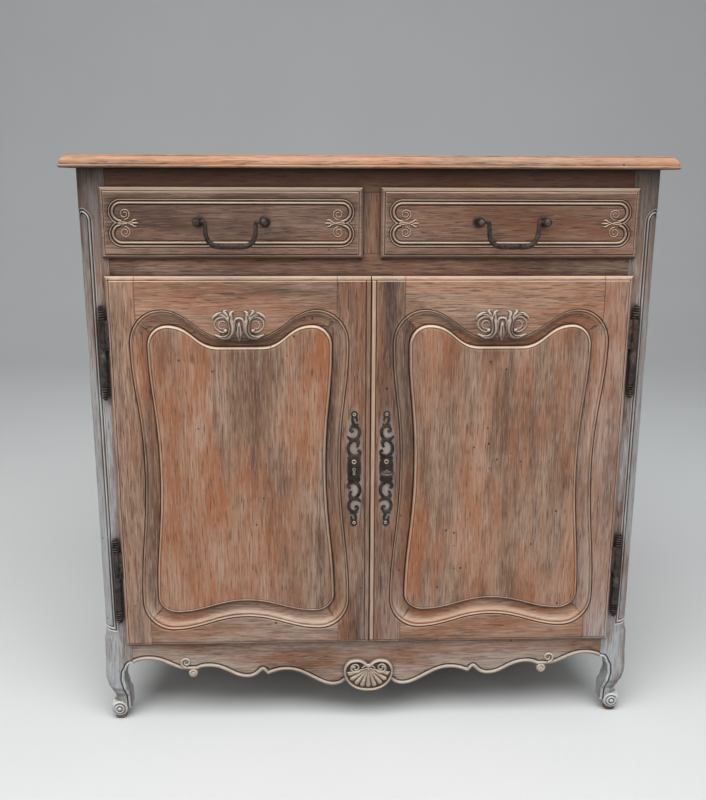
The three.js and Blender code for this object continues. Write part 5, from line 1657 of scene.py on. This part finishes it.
def makeKey():
    low, high = boxOf("key")
    b = keyBow
    stemX = (low.x + high.x) / 2
    stemZ = (low.z + high.z) / 2
    bowY = low.y + b["setBack"]
    turn = np.linspace(0, 2 * np.pi, b["steps"])
    ring = np.stack([stemX + b["halfWide"] * np.cos(turn), bowY + b["halfDeep"] * np.sin(turn),
                     np.full(b["steps"], stemZ), b["radius"] + b["swell"] * np.cos(2 * turn)], -1)
    bow = beads("bow", [(ring, 0.5)], "steel", 0, 1.0, 12)
    stem = [(0.4, bowY + 5.4, 0.3), (2.2, bowY + 5.8, 0.4), (2.6, bowY + 7.0, 0.3), (4.0, bowY + 8.6, 0.7),
            (4.0, bowY + 9.6, 0.7), (2.5, bowY + 10.8, -0.4), (2.5, high.y - 1.0, 0.2), (1.6, high.y, 0.4),
            (0.4, high.y, 0.2)]
    shank = turned("shank", stem, "y", (stemX, 0, stemZ), 18, 40)
    bit = easedBox("bit", (stemX, stemX + 9.6), (high.y - 5.6, high.y - 1.2), (stemZ - 1.2, stemZ + 1.2),
                   0.3)
    piece = joinPieces("doorKey", [bow, shank, bit])
    settle(piece, "door_key", "steel", "dark_iron", "key")


makeKey()

ironNodes = [("lockCase", "lock_case", "door_right"), ("lockBolt", "lock_bolt", "lock_bolt"),
             ("slidingBoltUpper", "door_bolt_upper", "bolt_upper"),
             ("slidingBoltLower", "door_bolt_lower", "bolt_lower")]
for piece, node, body in ironNodes:
    settle(easedNode(piece, node, 0.5), body, "iron", "dark_iron", node)


staple = {"x": (-38.0, -30.0), "plateReach": 8, "plateEnd": 4, "plate": (0.1, 1.6), "lowStrap": 12,
          "highStrap": 18, "strapTall": 7, "strapReach": 5, "strapGap": 0.6, "leg": (1.5, 8.4),
          "bridge": (7.5, 9.2), "ease": 0.4}
keeper = {"x": (-9, -1.6), "footX": (-26, -1.6), "foot": (0.1, 1.8), "footReach": 14, "gap": 1, "reach": 6,
          "bar": (0.9, 2.6), "ease": 0.4}


def makeInnerIron():
    # staples and a backing plate for each sliding bolt, and the keeper that the lock's bolt shoots behind
    back = boxOf("door_hinge_stile_left")[1].y
    s = staple
    x = s["x"]

    def behind(pair):
        return back + pair[0], back + pair[1]

    for label, node in (("Upper", "door_bolt_upper"), ("Lower", "door_bolt_lower")):
        low, high = boxOf(node)
        plateX = (x[0] - s["plateReach"], x[1] + s["plateReach"])
        plateZ = (low.z + s["plateEnd"], high.z - s["plateEnd"])
        parts = [easedBox("plate", plateX, behind(s["plate"]), plateZ, s["ease"])]
        for z in (low.z + s["lowStrap"], high.z - s["highStrap"]):
            tall = (z, z + s["strapTall"])
            leftLeg = (x[0] - s["strapReach"], x[0] - s["strapGap"])
            rightLeg = (x[1] + s["strapGap"], x[1] + s["strapReach"])
            parts.append(easedBox("strap", leftLeg, behind(s["leg"]), tall, s["ease"]))
            parts.append(easedBox("strap", rightLeg, behind(s["leg"]), tall, s["ease"]))
            parts.append(easedBox("strap", (leftLeg[0], rightLeg[1]), behind(s["bridge"]), tall, s["ease"]))
        settle(joinPieces("boltStaples" + label, parts), "door_left", "iron", "dark_iron")
    k = keeper
    low, high = boxOf("lock_bolt")
    bar = (high.y + k["bar"][0], high.y + k["bar"][1])
    cheek = (back + s["leg"][0], bar[1])
    footZ = (low.z - k["footReach"], high.z + k["footReach"])
    parts = [easedBox("keeperFoot", k["footX"], behind(k["foot"]), footZ, k["ease"]),
             easedBox("keeperLow", k["x"], cheek, (low.z - k["reach"], low.z - k["gap"]), k["ease"]),
             easedBox("keeperHigh", k["x"], cheek, (high.z + k["gap"], high.z + k["reach"]), k["ease"]),
             easedBox("keeperBar", k["x"], bar, (low.z - k["reach"], high.z + k["reach"]), k["ease"])]
    settle(joinPieces("lockKeeper", parts), "door_left", "iron", "dark_iron")


makeInnerIron()
print("ironwork done")


# ---- floor, light and camera ----

floorLook = {"plain": (0.57, 0.57, 0.565, 1), "light": (0.62, 0.62, 0.615, 1),
             "speck": (0.50, 0.50, 0.495, 1), "half": 14.0, "front": -12.0, "bend": 3.2, "radius": 2.6,
             "top": 9.0}


def makeFloor():
    # a plain floor that sweeps up behind
    f = floorLook
    s = Shader("paleFloor")
    place = s.node("ShaderNodeTexCoord", out="Object")
    soft = s.noise(place, 1.4, 3, 0.5)
    grain = s.noise(place, 240, 2, 0.6)
    colour = s.blend(f["plain"], f["light"], soft)
    colour = s.blend(colour, f["speck"], grain.clamped(0.5, 0.8) * 0.3)
    normal = s.node("ShaderNodeBump", None, {"Strength": 0.15, "Distance": 0.0008, "Height": grain})
    surface = s.node("ShaderNodeBsdfPrincipled", None, {"Base Color": colour, "Roughness": 0.85 + soft * 0.1,
                                                        "Normal": normal})
    sweep = [(f["front"], 0.0), (f["bend"], 0.0)]
    for a in np.linspace(0.08, math.pi / 2, 18):
        sweep.append((f["bend"] + f["radius"] * math.sin(a), f["radius"] - f["radius"] * math.cos(a)))
    sweep.append((f["bend"] + f["radius"], f["top"]))
    mesh = bpy.data.meshes.new("studioFloor")
    points = [(x, y, z) for y, z in sweep for x in (-f["half"], f["half"])]
    faces = [(2 * k, 2 * k + 1, 2 * k + 3, 2 * k + 2) for k in range(len(sweep) - 1)]
    mesh.from_pydata(points, [], faces)
    mesh.polygons.foreach_set("use_smooth", [True] * len(faces))
    mesh.materials.append(s.close(surface))
    floor = bpy.data.objects.new("studioFloor", mesh)
    bpy.context.scene.collection.objects.link(floor)


def addLamp(name, place, target, size, power, colour):
    lamp = bpy.data.lights.new(name, "AREA")
    lamp.shape = "RECTANGLE"
    lamp.size, lamp.size_y = size
    lamp.energy = power
    lamp.color = colour
    holder = bpy.data.objects.new(name, lamp)
    holder.location = place
    holder.rotation_euler = (Vector(target) - Vector(place)).to_track_quat("-Z", "Y").to_euler()
    bpy.context.scene.collection.objects.link(holder)


# where each lamp stands, what it faces, its size, power and colour
lamps = {
    "keySoftbox": ((-2.2, -3.4, 2.2), (0, 0, 0.45), (2.6, 2.2), 34, (1.0, 0.985, 0.96)),
    "skyPanel": ((-0.2, -1.9, 3.7), (0, -0.2, 0.3), (5.0, 2.6), 232, (0.97, 0.99, 1.0)),
    "fillPanel": ((2.9, -2.2, 1.5), (0, 0, 0.5), (1.8, 1.8), 12, (0.84, 0.93, 1.0)),
}
worldLook = {"colour": (0.86, 0.90, 0.93, 1), "strength": 0.32}


def makeLight():
    for name, settings in lamps.items():
        addLamp(name, *settings)
    world = bpy.data.worlds.new("studioWorld")
    world.use_nodes = True
    background = world.node_tree.nodes["Background"]
    background.inputs["Color"].default_value = worldLook["colour"]
    background.inputs["Strength"].default_value = worldLook["strength"]
    bpy.context.scene.world = world
    bpy.context.scene.view_settings.view_transform = "Standard"


cameraLook = {"place": (-0.085, -1.73025, 0.980), "yaw": 2.082, "pitch": 13.632, "roll": -0.179,
              "focal": 913.6, "longSide": 800, "sensor": 36.0}


def makeCamera():
    c = cameraLook
    yaw, pitch, roll = (math.radians(c[k]) for k in ("yaw", "pitch", "roll"))
    forward = Vector((math.sin(yaw) * math.cos(pitch), math.cos(yaw) * math.cos(pitch), -math.sin(pitch)))
    level = Vector((math.cos(yaw), -math.sin(yaw), 0))
    down = forward.cross(level)
    right = level * math.cos(roll) + down * math.sin(roll)
    up = -(down * math.cos(roll) - level * math.sin(roll))
    data = bpy.data.cameras.new("camera")
    data.sensor_width = c["sensor"]
    data.lens = c["focal"] * c["sensor"] / c["longSide"]
    camera = bpy.data.objects.new("camera", data)
    turn = Matrix((right, up, -forward)).transposed()
    camera.matrix_world = Matrix.Translation(c["place"]) @ turn.to_4x4()
    bpy.context.scene.collection.objects.link(camera)
    bpy.context.scene.camera = camera


makeFloor()
makeLight()
makeCamera()
